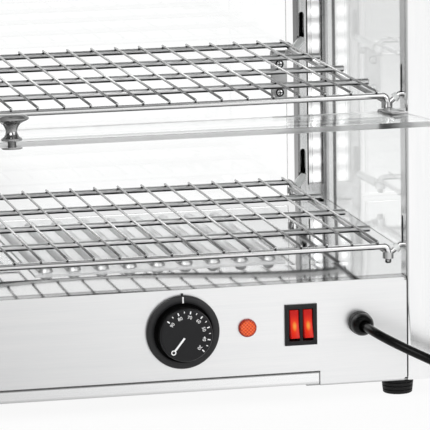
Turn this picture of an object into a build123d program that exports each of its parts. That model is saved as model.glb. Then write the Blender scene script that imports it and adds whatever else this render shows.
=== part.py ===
from build123d import *
from math import cos, pi, radians, sin, sqrt, tan
import os

os.makedirs("parts", exist_ok=True)

# A hot food counter: a heated base with a control panel, glass sides, two wire shelves
# and glass flaps at the front and the rear. Millimetres, +Z up, -Y is the control side.
# The origin is on the floor, below the middle of the whole outline at rest.

# Cabinet
overall_width = 700.0
base_depth = 358.0
overall_height = 380.0
foot_height = 12.0
base_height = 80.0
roof_height = 30.0
sheet = 1.0            # stainless sheet of the housing
glass = 4.0            # side glass and flaps
seam = 0.4             # gap beside the edge of a panel
body_gap = 0.3         # gap between pieces that move against each other

# Corner posts, folded from thicker sheet into a box
post_wall = 1.2
post_face = 31.0       # width seen from the front
post_depth = 16.0
led_bar_width = 14.0
led_bar_depth = 6.0
led_bar_inset = 8.0    # from the opening side of the post to the light bar
slot_width = 4.6
slot_height = 25.0
slot_inset = 4.0       # from a post's inner corner to the middle of its slots

# Flaps
flap_gap = 7.0         # beside the pane, between it and the post
flap_inset = 5.5       # hinge line behind the outer face of the cabinet
flap_open = 94.5       # degrees from hanging to fully open
flap_pitch = 116.0     # from the lower hinge line to the upper one
lower_hinge_height = 125.5
pane_below_hinge = 3.5
flap_bottom_gap = 3.5
clip_width = 13.0
clip_length = 38.5
clip_wall = 1.5
clip_screw_radius = 3.6
clip_screw_head = 1.6
clip_screw_first = 8.0
clip_screw_second = 32.0
hinge_pin_radius = 2.0
hinge_fit = 0.05
bush_radius = 3.2
knob_radius = 13.0
knob_height = 19.0
knob_foot_radius = 7.5
knob_waist_radius = 4.0
knob_stud_radius = 3.0
knob_nut_height = 2.0
knob_from_edge = 12.0

# Wire shelves
shelf_inset = 13.5     # front rail behind the front face
shelf_back_gap = 38.0  # from the back rail to the cabinet's back
rail_radius = 2.5
wire_radius = 1.2
wire_pitch = 20.0
rail_pitch = 75.0
side_bar_inset = 2.0   # from the legs to the bars below the rails
rail_past_bar = 8.0
weld_sink = 0.4        # a welded bar sinks this far into the rail
side_wire_radius = 1.8
shelf_side_gap = 11.0  # from the shelf's legs to the posts
leg_length = 13.0
lower_shelf_height = 22.0
shelf_spacing = 115.7
wire_overrun = 8.0     # from the last wire to the legs
leg_bend = 4.0
eye_height = 5.0
eye_wall = 1.5
pin_radius = 2.0
pin_rise = 8.0
stub_length = 1.6      # of a support's pin before and behind the post's wall
sleeve_wide = 3.6
sleeve_narrow = 3.0

# Deck, heaters and trays
heater_near = 47.5     # from the middle plane to the heater cover
heater_width = 197.0
heater_front = 84.0
heater_depth = 216.0
rib_pitch = 22.0
rib_radius = 6.0
cover_margin = 5.0     # the cover overlaps its opening by this much
element_radius = 4.0
element_drop = 16.0
pan_drop = 34.0
water_tray_width = 78.0
water_tray_depth = 170.0
water_tray_deep = 16.0
water_tray_rim = 5.0
crumb_tray_width = 500.0
crumb_tray_height = 8.2
crumb_tray_depth = 330.0
crumb_lip_height = 9.0
crumb_lip_rise = 1.6   # above the base's lower edge
crumb_lip_gap = 0.8    # below the edge of the panel's cut-out
crumb_tray_gap = 0.5   # below the bottom plate
runner_width = 12.0
vent_pitch = 12.0
vent_count = 9
vent_length = 26.0
vent_width = 4.0

# Controls, as distances from the right post and from the base's lower edge
control_height = 48.0
dial_from_post = 175.0
dial_radius = 20.5
dial_thickness = 13.4
bezel_radius = 28.0
bezel_inner_radius = 22.4
bezel_height = 4.0
bezel_floor = 1.5
shaft_radius = 3.0
lamp_from_post = 125.0
lamp_radius = 7.0
lamp_neck_radius = 5.5
switch_from_post = 83.5
switch_width = 25.0
switch_height = 31.5
switch_rim = 2.0
rocker_width = 7.0
rocker_length = 21.6
rocker_spacing = 10.6
rocker_tilt = 12.0
gland_from_post = 37.5
gland_drop = 1.0       # below the line of the other controls
gland_radius = 9.0
gland_length = 16.0
gland_thread_radius = 6.2
cord_radius = 3.5
foot_radius = 12.5
foot_inset = 35.0      # from the cabinet's side
foot_from_front = 15.0

# Places worked out from the sizes above
side_x = overall_width / 2
post_x = side_x - post_face
base_z = foot_height
deck_z = foot_height + base_height
roof_z = overall_height - roof_height
pane_half = post_x - flap_gap
lower_hinge_z = deck_z + lower_hinge_height
upper_hinge_z = lower_hinge_z + flap_pitch
lower_drop = lower_hinge_height - flap_bottom_gap
upper_drop = flap_pitch - pane_below_hinge - flap_bottom_gap
open_turn = radians(flap_open)
pane_inner = glass / 2
flap_reach = lower_drop * sin(open_turn) - pane_inner * cos(open_turn) - flap_inset
rear_reach = knob_height + glass / 2 - flap_inset
front_y = (flap_reach - base_depth - rear_reach) / 2
back_y = front_y + base_depth
rear_post_y = back_y - post_depth
dial_x = post_x - dial_from_post
lamp_x = post_x - lamp_from_post
switch_x = post_x - switch_from_post
gland_x = post_x - gland_from_post
control_z = base_z + control_height
gland_z = control_z - gland_drop
leg_x = post_x - shelf_side_gap
wire_edge_x = leg_x - wire_overrun
front_rail_y = front_y + shelf_inset
back_rail_y = back_y - shelf_back_gap
lower_rail_z = deck_z + lower_shelf_height
upper_rail_z = lower_rail_z + shelf_spacing
deck_under = deck_z - sheet
glass_x = side_x - glass


def keep(piece, name):
    """Label a finished piece and write it."""
    piece.label = name
    export_step(piece, f"parts/{name}.step")


def slab(x0, x1, y0, y1, z0, z1, mode=Mode.ADD):
    """A box between two corners."""
    with Locations(((x0 + x1) / 2, (y0 + y1) / 2, (z0 + z1) / 2)):
        Box(abs(x1 - x0), abs(y1 - y0), abs(z1 - z0), mode=mode)


def rod_y(x, z, y0, y1, radius, mode=Mode.ADD):
    """A round bar along Y."""
    with Locations((x, (y0 + y1) / 2, z)):
        Cylinder(radius, abs(y1 - y0), rotation=(90, 0, 0), mode=mode)


def rod_x(y, z, x0, x1, radius, mode=Mode.ADD):
    """A round bar along X."""
    with Locations(((x0 + x1) / 2, y, z)):
        Cylinder(radius, abs(x1 - x0), rotation=(0, 90, 0), mode=mode)


def rod_z(x, y, z0, z1, radius, mode=Mode.ADD):
    """An upright round bar."""
    with Locations((x, y, (z0 + z1) / 2)):
        Cylinder(radius, abs(z1 - z0), mode=mode)


def tube_along(points, radii, radius):
    """A round bar along straight runs joined by arcs, in the current part."""
    with BuildLine() as route:
        FilletPolyline(*points, radius=radii)
    start = route.line @ 0
    with BuildSketch(Plane(origin=start, z_dir=route.line % 0)) as section:
        Circle(radius)
    sweep(section.sketch, path=route.line)


# Base housing
panel_half = post_x - seam
panel_back = front_y + sheet
flange_depth = 11.0
tray_cut_half = crumb_tray_width / 2 + seam
tray_cut_top = base_z + crumb_lip_rise + crumb_lip_height + crumb_lip_gap
switch_hole = (switch_width - 2.6, switch_height - 2.6)
corner_relief = 1.5

with BuildPart() as front_panel:
    slab(-panel_half, panel_half, front_y, panel_back, base_z, deck_z)
    slab(-panel_half, panel_half, panel_back, panel_back + flange_depth, deck_under - sheet, deck_under)
    slab(-tray_cut_half, tray_cut_half, front_y - 1, panel_back + 1, base_z - 1, tray_cut_top,
         mode=Mode.SUBTRACT)
    rod_y(dial_x, control_z, front_y - 1, panel_back + 1, shaft_radius + 2.5, mode=Mode.SUBTRACT)
    rod_y(lamp_x, control_z, front_y - 1, panel_back + 1, lamp_neck_radius + 0.1, mode=Mode.SUBTRACT)
    rod_y(gland_x, gland_z, front_y - 1, panel_back + 1, gland_thread_radius + 0.1,
          mode=Mode.SUBTRACT)
    with Locations((switch_x, front_y + sheet / 2, control_z)):
        Box(switch_hole[0], 3 * sheet, switch_hole[1], mode=Mode.SUBTRACT)
    with Locations(*[(side * (panel_half - corner_relief / 2), front_y + sheet / 2, z)
                     for side in (-1, 1)
                     for z in (base_z + corner_relief / 2, deck_z - corner_relief / 2)]):
        Cylinder(corner_relief, 3 * sheet, rotation=(90, 0, 0), mode=Mode.SUBTRACT)
keep(front_panel.part, "front_panel")

with BuildPart() as rear_panel:
    slab(-panel_half, panel_half, back_y - sheet, back_y, base_z, deck_z)
    slab(-panel_half, panel_half, back_y - sheet - flange_depth, back_y - sheet,
         deck_under - sheet, deck_under)
    with BuildSketch(Plane.XZ.offset(-back_y)):
        with Locations((0, control_z)):
            with GridLocations(vent_pitch, 1, vent_count, 1):
                SlotOverall(vent_length, vent_width, rotation=90)
    extrude(amount=2 * sheet, mode=Mode.SUBTRACT)
keep(rear_panel.part, "rear_panel")

# Side walls of the base, with a ledge that carries the deck
wall_front = front_y + post_wall + body_gap
wall_back = back_y - post_wall - body_gap
ledge_depth = 10.0

with BuildPart() as side_panels:
    for side in (-1, 1):
        slab(side * (side_x - sheet), side * side_x, wall_front, wall_back, base_z, deck_z)
        slab(side * (side_x - sheet - ledge_depth), side * (side_x - sheet),
             front_y + post_depth + 1, rear_post_y - 1, deck_under - sheet, deck_under)
keep(side_panels.part, "side_panels")

# Bottom plate: a raised middle over the crumb tray, and runners that carry the tray
pan_x = side_x - sheet - seam / 2
pan_front = panel_back + seam / 2
pan_back = back_y - sheet - seam / 2
web_x = crumb_tray_width / 2 + 2.0
tray_z = base_z + sheet + body_gap
pan_top_z = tray_z + crumb_tray_height + crumb_tray_gap + sheet
foot_x = side_x - foot_inset
foot_ys = (front_y + foot_from_front, back_y - foot_from_front)
screw_radius = 2.0
screw_head_radius = 4.0
screw_head = 2.2
screw_hole = screw_radius + 0.2
runner_screw_x = web_x + 10.0
runner_screw_ys = (front_y + 14.0, back_y - 14.0)
screw_spots = [(side * foot_x, y) for side in (-1, 1) for y in foot_ys]
screw_spots += [(side * runner_screw_x, y) for side in (-1, 1) for y in runner_screw_ys]

with BuildPart() as base_pan:
    slab(-web_x - sheet, web_x + sheet, pan_front, pan_back, pan_top_z - sheet, pan_top_z)
    for side in (-1, 1):
        slab(side * web_x, side * (web_x + sheet), pan_front, pan_back, base_z, pan_top_z)
        slab(side * (web_x - runner_width), side * pan_x, pan_front, pan_back, base_z,
             base_z + sheet)
        for y0, y1 in ((front_y, front_y + post_depth + seam), (rear_post_y - seam, back_y)):
            slab(side * (post_x - seam), side * side_x, y0, y1, base_z - 1, base_z + 2 * sheet,
                 mode=Mode.SUBTRACT)
    for x, y in screw_spots:
        rod_z(x, y, base_z - 1, base_z + 2 * sheet, screw_hole, mode=Mode.SUBTRACT)
keep(base_pan.part, "base_pan")

# Rubber feet and the screws below the base
foot_taper = 1.2
with BuildPart() as feet:
    with Locations(*[(side * foot_x, y, foot_height / 2) for side in (-1, 1) for y in foot_ys]):
        Cone(foot_radius - foot_taper, foot_radius, foot_height)
    for x, y in screw_spots[:4]:
        rod_z(x, y, -1, foot_height + 1, screw_hole, mode=Mode.SUBTRACT)
        rod_z(x, y, -1, 2 * screw_head, screw_head_radius + 0.3, mode=Mode.SUBTRACT)
keep(feet.part, "feet")

nut_radius = 3.6
nut_height = 3.0
with BuildPart() as base_screws:
    for i, (x, y) in enumerate(screw_spots):
        head_top = 2 * screw_head if i < 4 else base_z
        rod_z(x, y, head_top - screw_head, head_top, screw_head_radius)
        rod_z(x, y, head_top - 0.5, base_z + sheet + nut_height + 1, screw_radius)
        with BuildSketch(Plane.XY.offset(base_z + sheet)):
            with Locations((x, y)):
                RegularPolygon(nut_radius, 6)
        extrude(amount=nut_height)
keep(base_screws.part, "base_screws")

# Deck, with an opening for each heater cover and for the water tray
heater_y0 = front_y + heater_front
heater_y1 = heater_y0 + heater_depth
heater_x0 = heater_near
heater_x1 = heater_near + heater_width
water_half = water_tray_width / 2
water_y0 = heater_y0 + (heater_depth - water_tray_depth) / 2
water_y1 = water_y0 + water_tray_depth

with BuildPart() as deck:
    slab(-pan_x, pan_x, pan_front, pan_back, deck_under, deck_z)
    for side in (-1, 1):
        slab(side * (heater_x0 + cover_margin), side * (heater_x1 - cover_margin),
             heater_y0 + cover_margin, heater_y1 - cover_margin, deck_under - 1, deck_z + 1,
             mode=Mode.SUBTRACT)
        for y0, y1 in ((front_y, front_y + post_depth + seam), (rear_post_y - seam, back_y)):
            slab(side * (post_x - seam), side * side_x, y0, y1, deck_under - 1, deck_z + 1,
                 mode=Mode.SUBTRACT)
    slab(-water_half + water_tray_rim, water_half - water_tray_rim, water_y0 + water_tray_rim,
         water_y1 - water_tray_rim, deck_under - 1, deck_z + 1, mode=Mode.SUBTRACT)
keep(deck.part, "deck")

# Pan below the deck that holds the heat off the wiring
heat_pan_x = heater_x1 + 7.0
heat_pan_y0 = heater_y0 - 7.0
heat_pan_y1 = heater_y1 + 7.0
heat_pan_z = deck_under - pan_drop
element_z = deck_under - element_drop
element_side = 22.0    # from the cover's edge to the first leg of an element
element_bend = 18.0
leg_step = (heater_width - 2 * element_side) / 3
element_xs = [heater_x0 + element_side + i * leg_step for i in range(4)]
element_front = heat_pan_y0 - 9.0
element_ends = (element_xs[0], element_xs[3])
bulb_radius = 3.0
bulb_x = (water_half + heater_x0 + cover_margin) / 2
bulb_z = deck_under - bulb_radius
capillary_radius = 0.9

with BuildPart() as heat_pan:
    slab(-heat_pan_x, heat_pan_x, heat_pan_y0, heat_pan_y1, heat_pan_z, deck_under)
    slab(-heat_pan_x + sheet, heat_pan_x - sheet, heat_pan_y0 + sheet, heat_pan_y1 - sheet,
         heat_pan_z + sheet, deck_under + 1, mode=Mode.SUBTRACT)
    for side in (-1, 1):
        for x in element_ends:
            rod_y(side * x, element_z, heat_pan_y0 - 1, heat_pan_y0 + sheet + 1,
                  element_radius + 0.2, mode=Mode.SUBTRACT)
    rod_y(bulb_x, bulb_z, heat_pan_y0 - 1, heat_pan_y0 + sheet + 1, capillary_radius + 0.3,
          mode=Mode.SUBTRACT)
keep(heat_pan.part, "heat_pan")

# Tubular heating elements, one below each cover, and the clips that carry them
turn_near = heater_y0 + 30.0
turn_far = heater_y1 - 16.0
with BuildPart() as heating_elements:
    for side in (-1, 1):
        a, b, c, d = [side * x for x in element_xs]
        tube_along([(a, element_front, element_z), (a, turn_far, element_z),
                    (b, turn_far, element_z), (b, turn_near, element_z),
                    (c, turn_near, element_z), (c, turn_far, element_z),
                    (d, turn_far, element_z), (d, element_front, element_z)],
                   element_bend, element_radius)
keep(heating_elements.part, "heating_elements")

clip_ys = (heater_y0 + 55.0, heater_y1 - 55.0)
with BuildPart() as element_clips:
    for side in (-1, 1):
        for y in clip_ys:
            slab(side * (element_xs[0] - 8), side * (element_xs[3] + 8), y - 1.5, y + 1.5,
                 heat_pan_z + sheet, element_z - element_radius)
keep(element_clips.part, "element_clips")

# Ribbed covers over the heaters: a sheet with hollow domed ribs
rib_count = int((heater_width - 2 * rib_radius - 4) / rib_pitch) + 1
rib_end = 14.0         # from the cover's edge to the round end of a rib

with BuildPart() as heater_covers:
    rib_y0 = heater_y0 + rib_end
    rib_y1 = heater_y1 - rib_end
    middles = [side * (heater_x0 + heater_x1) / 2 for side in (-1, 1)]
    rib_xs = [x + (i - (rib_count - 1) / 2) * rib_pitch for x in middles for i in range(rib_count)]
    for side in (-1, 1):
        slab(side * heater_x0, side * heater_x1, heater_y0, heater_y1, deck_z, deck_z + sheet)
    for radius, mode in ((rib_radius, Mode.ADD), (rib_radius - sheet, Mode.SUBTRACT)):
        for x in rib_xs:
            rod_y(x, deck_z, rib_y0, rib_y1, radius, mode=mode)
        with Locations(*[(x, y, deck_z) for x in rib_xs for y in (rib_y0, rib_y1)]):
            Sphere(radius, mode=mode)
    slab(-heater_x1 - 1, heater_x1 + 1, heater_y0 - 1, heater_y1 + 1, deck_z - 2 * rib_radius,
         deck_z, mode=Mode.SUBTRACT)
keep(heater_covers.part, "heater_covers")

# Water tray, which hangs by its rim in the middle of the deck
rim_z = deck_z + body_gap
tray_wall_gap = 1.0
water_inner = water_half - water_tray_rim - tray_wall_gap
with BuildPart() as water_tray:
    slab(-water_half, water_half, water_y0, water_y1, rim_z, rim_z + sheet)
    slab(-water_inner, water_inner, water_y0 + water_tray_rim + tray_wall_gap,
         water_y1 - water_tray_rim - tray_wall_gap, deck_z - water_tray_deep, rim_z + sheet)
    slab(-water_inner + sheet, water_inner - sheet, water_y0 + water_tray_rim + tray_wall_gap + sheet,
         water_y1 - water_tray_rim - tray_wall_gap - sheet, deck_z - water_tray_deep + sheet,
         rim_z + 2 * sheet, mode=Mode.SUBTRACT)
keep(water_tray.part, "water_tray")

# Crumb tray, which slides out to the front on the runners
tray_half = crumb_tray_width / 2
lip_z = base_z + crumb_lip_rise
tray_y1 = front_y + crumb_tray_depth
lip_proud = 1.2
with BuildPart() as crumb_tray:
    slab(-tray_half, tray_half, front_y, tray_y1, tray_z, tray_z + crumb_tray_height)
    slab(-tray_half + sheet, tray_half - sheet, front_y + sheet, tray_y1 - sheet, tray_z + sheet,
         tray_z + crumb_tray_height + 1, mode=Mode.SUBTRACT)
    slab(-tray_half, tray_half, front_y - lip_proud, front_y, lip_z, lip_z + crumb_lip_height)
keep(crumb_tray.part, "crumb_tray")

# Corner posts
hinge_ys = (front_y + flap_inset, back_y - flap_inset)
hinge_zs = (lower_hinge_z, upper_hinge_z)
rail_zs = (lower_rail_z, upper_rail_z)
eye_top = max(leg_bend, rail_radius) + body_gap     # below the rail's middle
eye_middle = eye_top + eye_height / 2
tip_zs = [z - eye_middle + pin_rise for z in rail_zs]
led_x0 = post_x + led_bar_inset
led_x1 = led_x0 + led_bar_width
post_inner_x = glass_x - seam / 2
slot_y = front_y + post_depth - slot_inset
slot_x = post_x + slot_inset


def corner_post(side, at_front, name):
    outer = front_y if at_front else back_y
    inward = 1 if at_front else -1
    inner = outer + inward * post_depth
    recess = inner - inward * led_bar_depth
    hinge_y = hinge_ys[0] if at_front else hinge_ys[1]
    with BuildPart() as post:
        with BuildSketch(Plane.XY.offset(base_z)) as section:
            with BuildLine():
                Polyline((side * post_x, outer), (side * post_inner_x, outer),
                         (side * post_inner_x, inner), (side * led_x1, inner),
                         (side * led_x1, recess), (side * led_x0, recess),
                         (side * led_x0, inner), (side * post_x, inner), close=True)
            make_face()
            fillet(section.vertices().sort_by_distance((side * post_x, outer))[0], 2.5)
            offset(amount=-post_wall, mode=Mode.SUBTRACT)
            with Locations(((side * (post_inner_x + side_x) / 2), outer + inward * post_wall / 2)):
                Rectangle(side_x - post_inner_x, post_wall)
        extrude(amount=roof_z - base_z)
        for z in hinge_zs:
            rod_x(hinge_y, z, side * (post_x - 1), side * (post_x + 2 * post_wall), bush_radius,
                  mode=Mode.SUBTRACT)
        for z in tip_zs:
            low = z
            high = z + slot_height - slot_width
            half = slot_width / 2
            if at_front:
                x0, x1 = side * (post_x - 1), side * (post_x + 2 * post_wall)
                slab(x0, x1, slot_y - half, slot_y + half, low, high, mode=Mode.SUBTRACT)
                for end_z in (low, high):
                    rod_x(slot_y, end_z, x0, x1, half, mode=Mode.SUBTRACT)
            else:
                x0, x1 = side * (slot_x - half), side * (slot_x + half)
                y0, y1 = rear_post_y - 1, rear_post_y + 2 * post_wall
                slab(x0, x1, y0, y1, low, high, mode=Mode.SUBTRACT)
                for end_z in (low, high):
                    rod_y(side * slot_x, end_z, y0, y1, half, mode=Mode.SUBTRACT)
    keep(post.part, name)


corner_post(-1, True, "post_front_left")
corner_post(1, True, "post_front_right")
corner_post(-1, False, "post_rear_left")
corner_post(1, False, "post_rear_right")

# Light bars: a strip with a row of light spots, below a clear cover, in each post
led_pitch = 14.0
led_size = 3.5
led_board = 1.2
led_height = 0.8
led_low = deck_z + 16.0
led_high = roof_z - 8.0
led_count = int((led_high - led_low - led_size) / led_pitch) + 1
cover_wall = 0.9
board_margin = 1.4
with BuildPart() as led_strips:
    for side in (-1, 1):
        for back, out in ((front_y + post_depth - led_bar_depth, 1), (rear_post_y + led_bar_depth, -1)):
            slab(side * (led_x0 + board_margin), side * (led_x1 - board_margin), back,
                 back + out * led_board, led_low, led_high)
            first = led_low + (led_high - led_low - (led_count - 1) * led_pitch) / 2
            middle_x = side * (led_x0 + led_x1) / 2
            middle_y = back + out * (led_board + led_height / 2)
            with Locations(*[(middle_x, middle_y, first + i * led_pitch) for i in range(led_count)]):
                Box(led_size, led_height, led_size)
keep(led_strips.part, "led_strips")

with BuildPart() as led_covers:
    for side in (-1, 1):
        for back, out in ((front_y + post_depth - led_bar_depth, 1), (rear_post_y + led_bar_depth, -1)):
            x0, x1 = side * (led_x0 + body_gap), side * (led_x1 - body_gap)
            inner = body_gap + cover_wall
            slab(x0, x1, back, back + out * led_bar_depth, led_low - 1, led_high + 1)
            slab(side * (led_x0 + inner), side * (led_x1 - inner), back - out,
                 back + out * (led_bar_depth - cover_wall), led_low - 2, led_high + 2,
                 mode=Mode.SUBTRACT)
keep(led_covers.part, "led_covers")


def side_glass(side, name):
    with BuildPart() as pane:
        slab(side * glass_x, side * side_x, wall_front, wall_back, deck_z, roof_z)
        chamfer(pane.edges().filter_by(Axis.Z), 0.4)
    keep(pane.part, name)


side_glass(-1, "side_glass_left")
side_glass(1, "side_glass_right")

# Roof: a shallow cap over a flat ceiling
with BuildPart() as ceiling:
    slab(-glass_x, glass_x, front_y + post_wall + body_gap, back_y - post_wall - body_gap,
         roof_z, roof_z + sheet)
keep(ceiling.part, "ceiling")

roof_fillet = 3.0
with BuildPart() as roof:
    slab(-side_x, side_x, front_y, back_y, roof_z, overall_height)
    fillet(roof.edges().filter_by(Axis.Z), roof_fillet)
    fillet(roof.faces().sort_by(Axis.Z)[-1].edges(), roof_fillet - 1)
    slab(-side_x + sheet, side_x - sheet, front_y + sheet, back_y - sheet, roof_z - 1,
         overall_height - sheet, mode=Mode.SUBTRACT)
keep(roof.part, "roof")

# Wire shelves: five rails across, the first and the last bent down into legs, two bars
# below their ends and thin wires along the top
rail_count = round((back_rail_y - front_rail_y) / rail_pitch) + 1
rail_step = (back_rail_y - front_rail_y) / (rail_count - 1)
wire_count = 2 * int(wire_edge_x / wire_pitch) + 1
bar_x = leg_x - side_bar_inset
wire_end = 2.2         # a wire ends this far past the last rail
eye_radius = rail_radius + body_gap + eye_wall
bar_from_rail = eye_radius + side_wire_radius


def shelf(rail_z, name):
    with BuildPart() as frame:
        for i in range(rail_count):
            y = front_rail_y + i * rail_step
            if i in (0, rail_count - 1):
                low = rail_z - leg_length
                tube_along([(-leg_x, y, low), (-leg_x, y, rail_z), (leg_x, y, rail_z),
                            (leg_x, y, low)], leg_bend, rail_radius)
            else:
                rod_x(y, rail_z, -bar_x - rail_past_bar, bar_x + rail_past_bar, rail_radius)
        for side in (-1, 1):
            rod_y(side * bar_x, rail_z - rail_radius - side_wire_radius + weld_sink,
                  front_rail_y + bar_from_rail, back_rail_y - bar_from_rail, side_wire_radius)
    keep(frame.part, f"{name}_rails")
    with BuildPart() as wires:
        for i in range(wire_count):
            rod_y((i - (wire_count - 1) / 2) * wire_pitch, rail_z + rail_radius + wire_radius,
                  front_rail_y - 1.0, back_rail_y + wire_end, wire_radius)
    keep(wires.part, f"{name}_wires")


shelf(lower_rail_z, "lower_shelf")
shelf(upper_rail_z, "upper_shelf")

# Shelf supports: an eye round each leg, on a pin that rises into a slot of the post,
# with a plastic sleeve on the pin
stub_x = post_x - stub_length
stub_y = rear_post_y - stub_length


def support_points(side, at_front, tip_z):
    """The middle of the eye, the bend of the pin and the pin's end in the post."""
    y = front_rail_y if at_front else back_rail_y
    eye = Vector(side * leg_x, y, tip_z - pin_rise)
    if at_front:
        bend = Vector(side * stub_x, slot_y, tip_z)
        tip = Vector(side * (post_x + post_wall + stub_length), slot_y, tip_z)
    else:
        bend = Vector(side * slot_x, stub_y, tip_z)
        tip = Vector(side * slot_x, rear_post_y + post_wall + stub_length, tip_z)
    return eye, bend, tip


corners = [(side, at_front, z) for side in (-1, 1) for at_front in (True, False) for z in tip_zs]
from_base = (Align.CENTER, Align.CENTER, Align.MIN)
with BuildPart() as support_pins:
    for side, at_front, tip_z in corners:
        eye, bend, tip = support_points(side, at_front, tip_z)
        with Locations(Plane(origin=eye, z_dir=bend - eye)):
            Cylinder(pin_radius, (bend - eye).length, align=from_base)
        with Locations(bend):
            Sphere(pin_radius)
        with Locations(Plane(origin=bend, z_dir=tip - bend)):
            Cylinder(pin_radius, (tip - bend).length, align=from_base)
        with Locations(eye):
            Cylinder(eye_radius, eye_height)
            Cylinder(rail_radius + body_gap, 2 * eye_height, mode=Mode.SUBTRACT)
keep(support_pins.part, "shelf_support_pins")

with BuildPart() as support_sleeves:
    for side, at_front, tip_z in corners:
        eye, bend, tip = support_points(side, at_front, tip_z)
        axis = (bend - eye).normalized()
        straight = axis.dot((tip - bend).normalized())
        turned = sqrt(1 - straight ** 2)
        run = sqrt(1 - axis.Z ** 2)
        clear_of_leg = (rail_radius + 2 * body_gap + sleeve_wide * axis.Z) / run
        first = max(eye_radius + 3 * body_gap, clear_of_leg)
        last = max((sleeve_narrow * turned + body_gap - stub_length) / straight,
                   pin_radius * turned) + body_gap
        length = (bend - eye).length - first - last
        with Locations(Plane(origin=eye + axis * first, z_dir=axis)):
            Cone(sleeve_wide, sleeve_narrow, length, align=from_base)
            Cylinder(pin_radius, length, align=from_base, mode=Mode.SUBTRACT)
keep(support_sleeves.part, "shelf_support_sleeves")

# Flaps: a pane, two clips with hinge pins, and a turned knob with a nut behind the pane
pin_end = post_x + post_wall + 1.0
clip_half = glass / 2 + clip_wall


def flap(name, at_front, hinge_z, drop, turn):
    hinge_y = hinge_ys[0] if at_front else hinge_ys[1]
    out = -1 if at_front else 1
    face = hinge_y + out * glass / 2
    inner_face = hinge_y - out * glass / 2
    knob_z = hinge_z - drop + knob_from_edge
    hinge_line = Axis((0, hinge_y, hinge_z), (1, 0, 0))
    with BuildPart() as pane:
        slab(-pane_half, pane_half, hinge_y - glass / 2, hinge_y + glass / 2, hinge_z - drop,
             hinge_z - pane_below_hinge)
        chamfer(pane.edges().filter_by(Axis.X), 0.4)
        rod_y(0, knob_z, face + out, inner_face - out, knob_stud_radius, mode=Mode.SUBTRACT)
    keep(pane.part.rotate(hinge_line, turn), f"{name}_glass")

    with BuildPart() as clips:
        for side in (-1, 1):
            x0, x1 = side * (pane_half - clip_width), side * pane_half
            slab(x0, x1, hinge_y - clip_half, hinge_y + clip_half, hinge_z - clip_length, hinge_z)
            rod_x(hinge_y, hinge_z, x0, x1, clip_half)
            slab(side * (pane_half - clip_width - 1), side * (pane_half + 1), hinge_y - glass / 2,
                 hinge_y + glass / 2, hinge_z - clip_length - 1, hinge_z - pane_below_hinge,
                 mode=Mode.SUBTRACT)
            rod_x(hinge_y, hinge_z, x1, side * pin_end, hinge_pin_radius)
    with BuildPart() as screws:
        for side in (-1, 1):
            for down in (clip_screw_first, clip_screw_second):
                rod_y(side * (pane_half - clip_width / 2), hinge_z - down,
                      hinge_y - out * clip_half, hinge_y - out * (clip_half + clip_screw_head),
                      clip_screw_radius)
    fittings = Compound([*clips.part.solids(), *screws.part.solids()])
    keep(fittings.rotate(hinge_line, turn), f"{name}_hinges")

    with BuildPart() as knob:
        with BuildSketch(Plane.XY.offset(knob_z)):
            with BuildLine():
                foot_top = (knob_foot_radius - 0.6, face + out * 1.8)
                rim_low = (knob_radius - 0.5, face + out * (knob_height - 4.6))
                waist_y = face + out * 0.42 * knob_height
                Polyline((0, face), (knob_foot_radius, face), (knob_foot_radius, face + out * 1.2),
                         foot_top)
                Spline(foot_top, (knob_waist_radius, waist_y), rim_low)
                Polyline(rim_low, (knob_radius, face + out * (knob_height - 4)),
                         (knob_radius, face + out * (knob_height - 3)),
                         (knob_radius - 2.6, face + out * (knob_height - 0.8)),
                         (knob_radius - 6, face + out * knob_height), (0, face + out * knob_height),
                         (0, face))
            make_face()
        revolve(axis=Axis((0, 0, knob_z), (0, 1, 0)))
        rod_y(0, knob_z, face + out * 2, inner_face - out * (knob_nut_height + 1), knob_stud_radius)
        rod_y(0, knob_z, inner_face, inner_face - out * knob_nut_height, knob_foot_radius)
    keep(knob.part.rotate(hinge_line, turn), f"{name}_knob")


flap("front_lower_flap", True, lower_hinge_z, lower_drop, -flap_open)
flap("front_upper_flap", True, upper_hinge_z, upper_drop, -flap_open)
flap("rear_lower_flap", False, lower_hinge_z, lower_drop, 0)
flap("rear_upper_flap", False, upper_hinge_z, upper_drop, 0)

bush_x0 = pane_half + body_gap
bush_x1 = post_x + 2 * post_wall - 0.2
with BuildPart() as hinge_bushes:
    for hinge_y in hinge_ys:
        for hinge_z in hinge_zs:
            for side in (-1, 1):
                rod_x(hinge_y, hinge_z, side * bush_x0, side * bush_x1, bush_radius)
                rod_x(hinge_y, hinge_z, side * (bush_x0 - 1), side * (bush_x1 + 1),
                      hinge_pin_radius + hinge_fit, mode=Mode.SUBTRACT)
keep(hinge_bushes.part, "hinge_bushes")

# Thermostat: a bezel on the panel, a body behind it and a shaft that the dial sits on
bezel_nib = (3.0, 2.0)
hub_gap = body_gap
shaft_fit = 0.05
shaft_hole = shaft_radius + 2.0
with BuildPart() as bezel:
    rod_y(dial_x, control_z, front_y, front_y - bezel_height, bezel_radius)
    front_edges = bezel.faces().sort_by(Axis.Y)[0].edges()
    chamfer(front_edges, 1.0)
    rod_y(dial_x, control_z, front_y - bezel_floor, front_y - bezel_height - 1, bezel_inner_radius,
          mode=Mode.SUBTRACT)
    rod_y(dial_x, control_z, front_y + 1, front_y - bezel_height, shaft_hole, mode=Mode.SUBTRACT)
    slab(dial_x - bezel_nib[0] / 2, dial_x + bezel_nib[0] / 2, front_y - bezel_floor, front_y,
         control_z + bezel_radius - 1, control_z + bezel_radius + bezel_nib[1])
keep(bezel.part, "dial_bezel")

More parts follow.
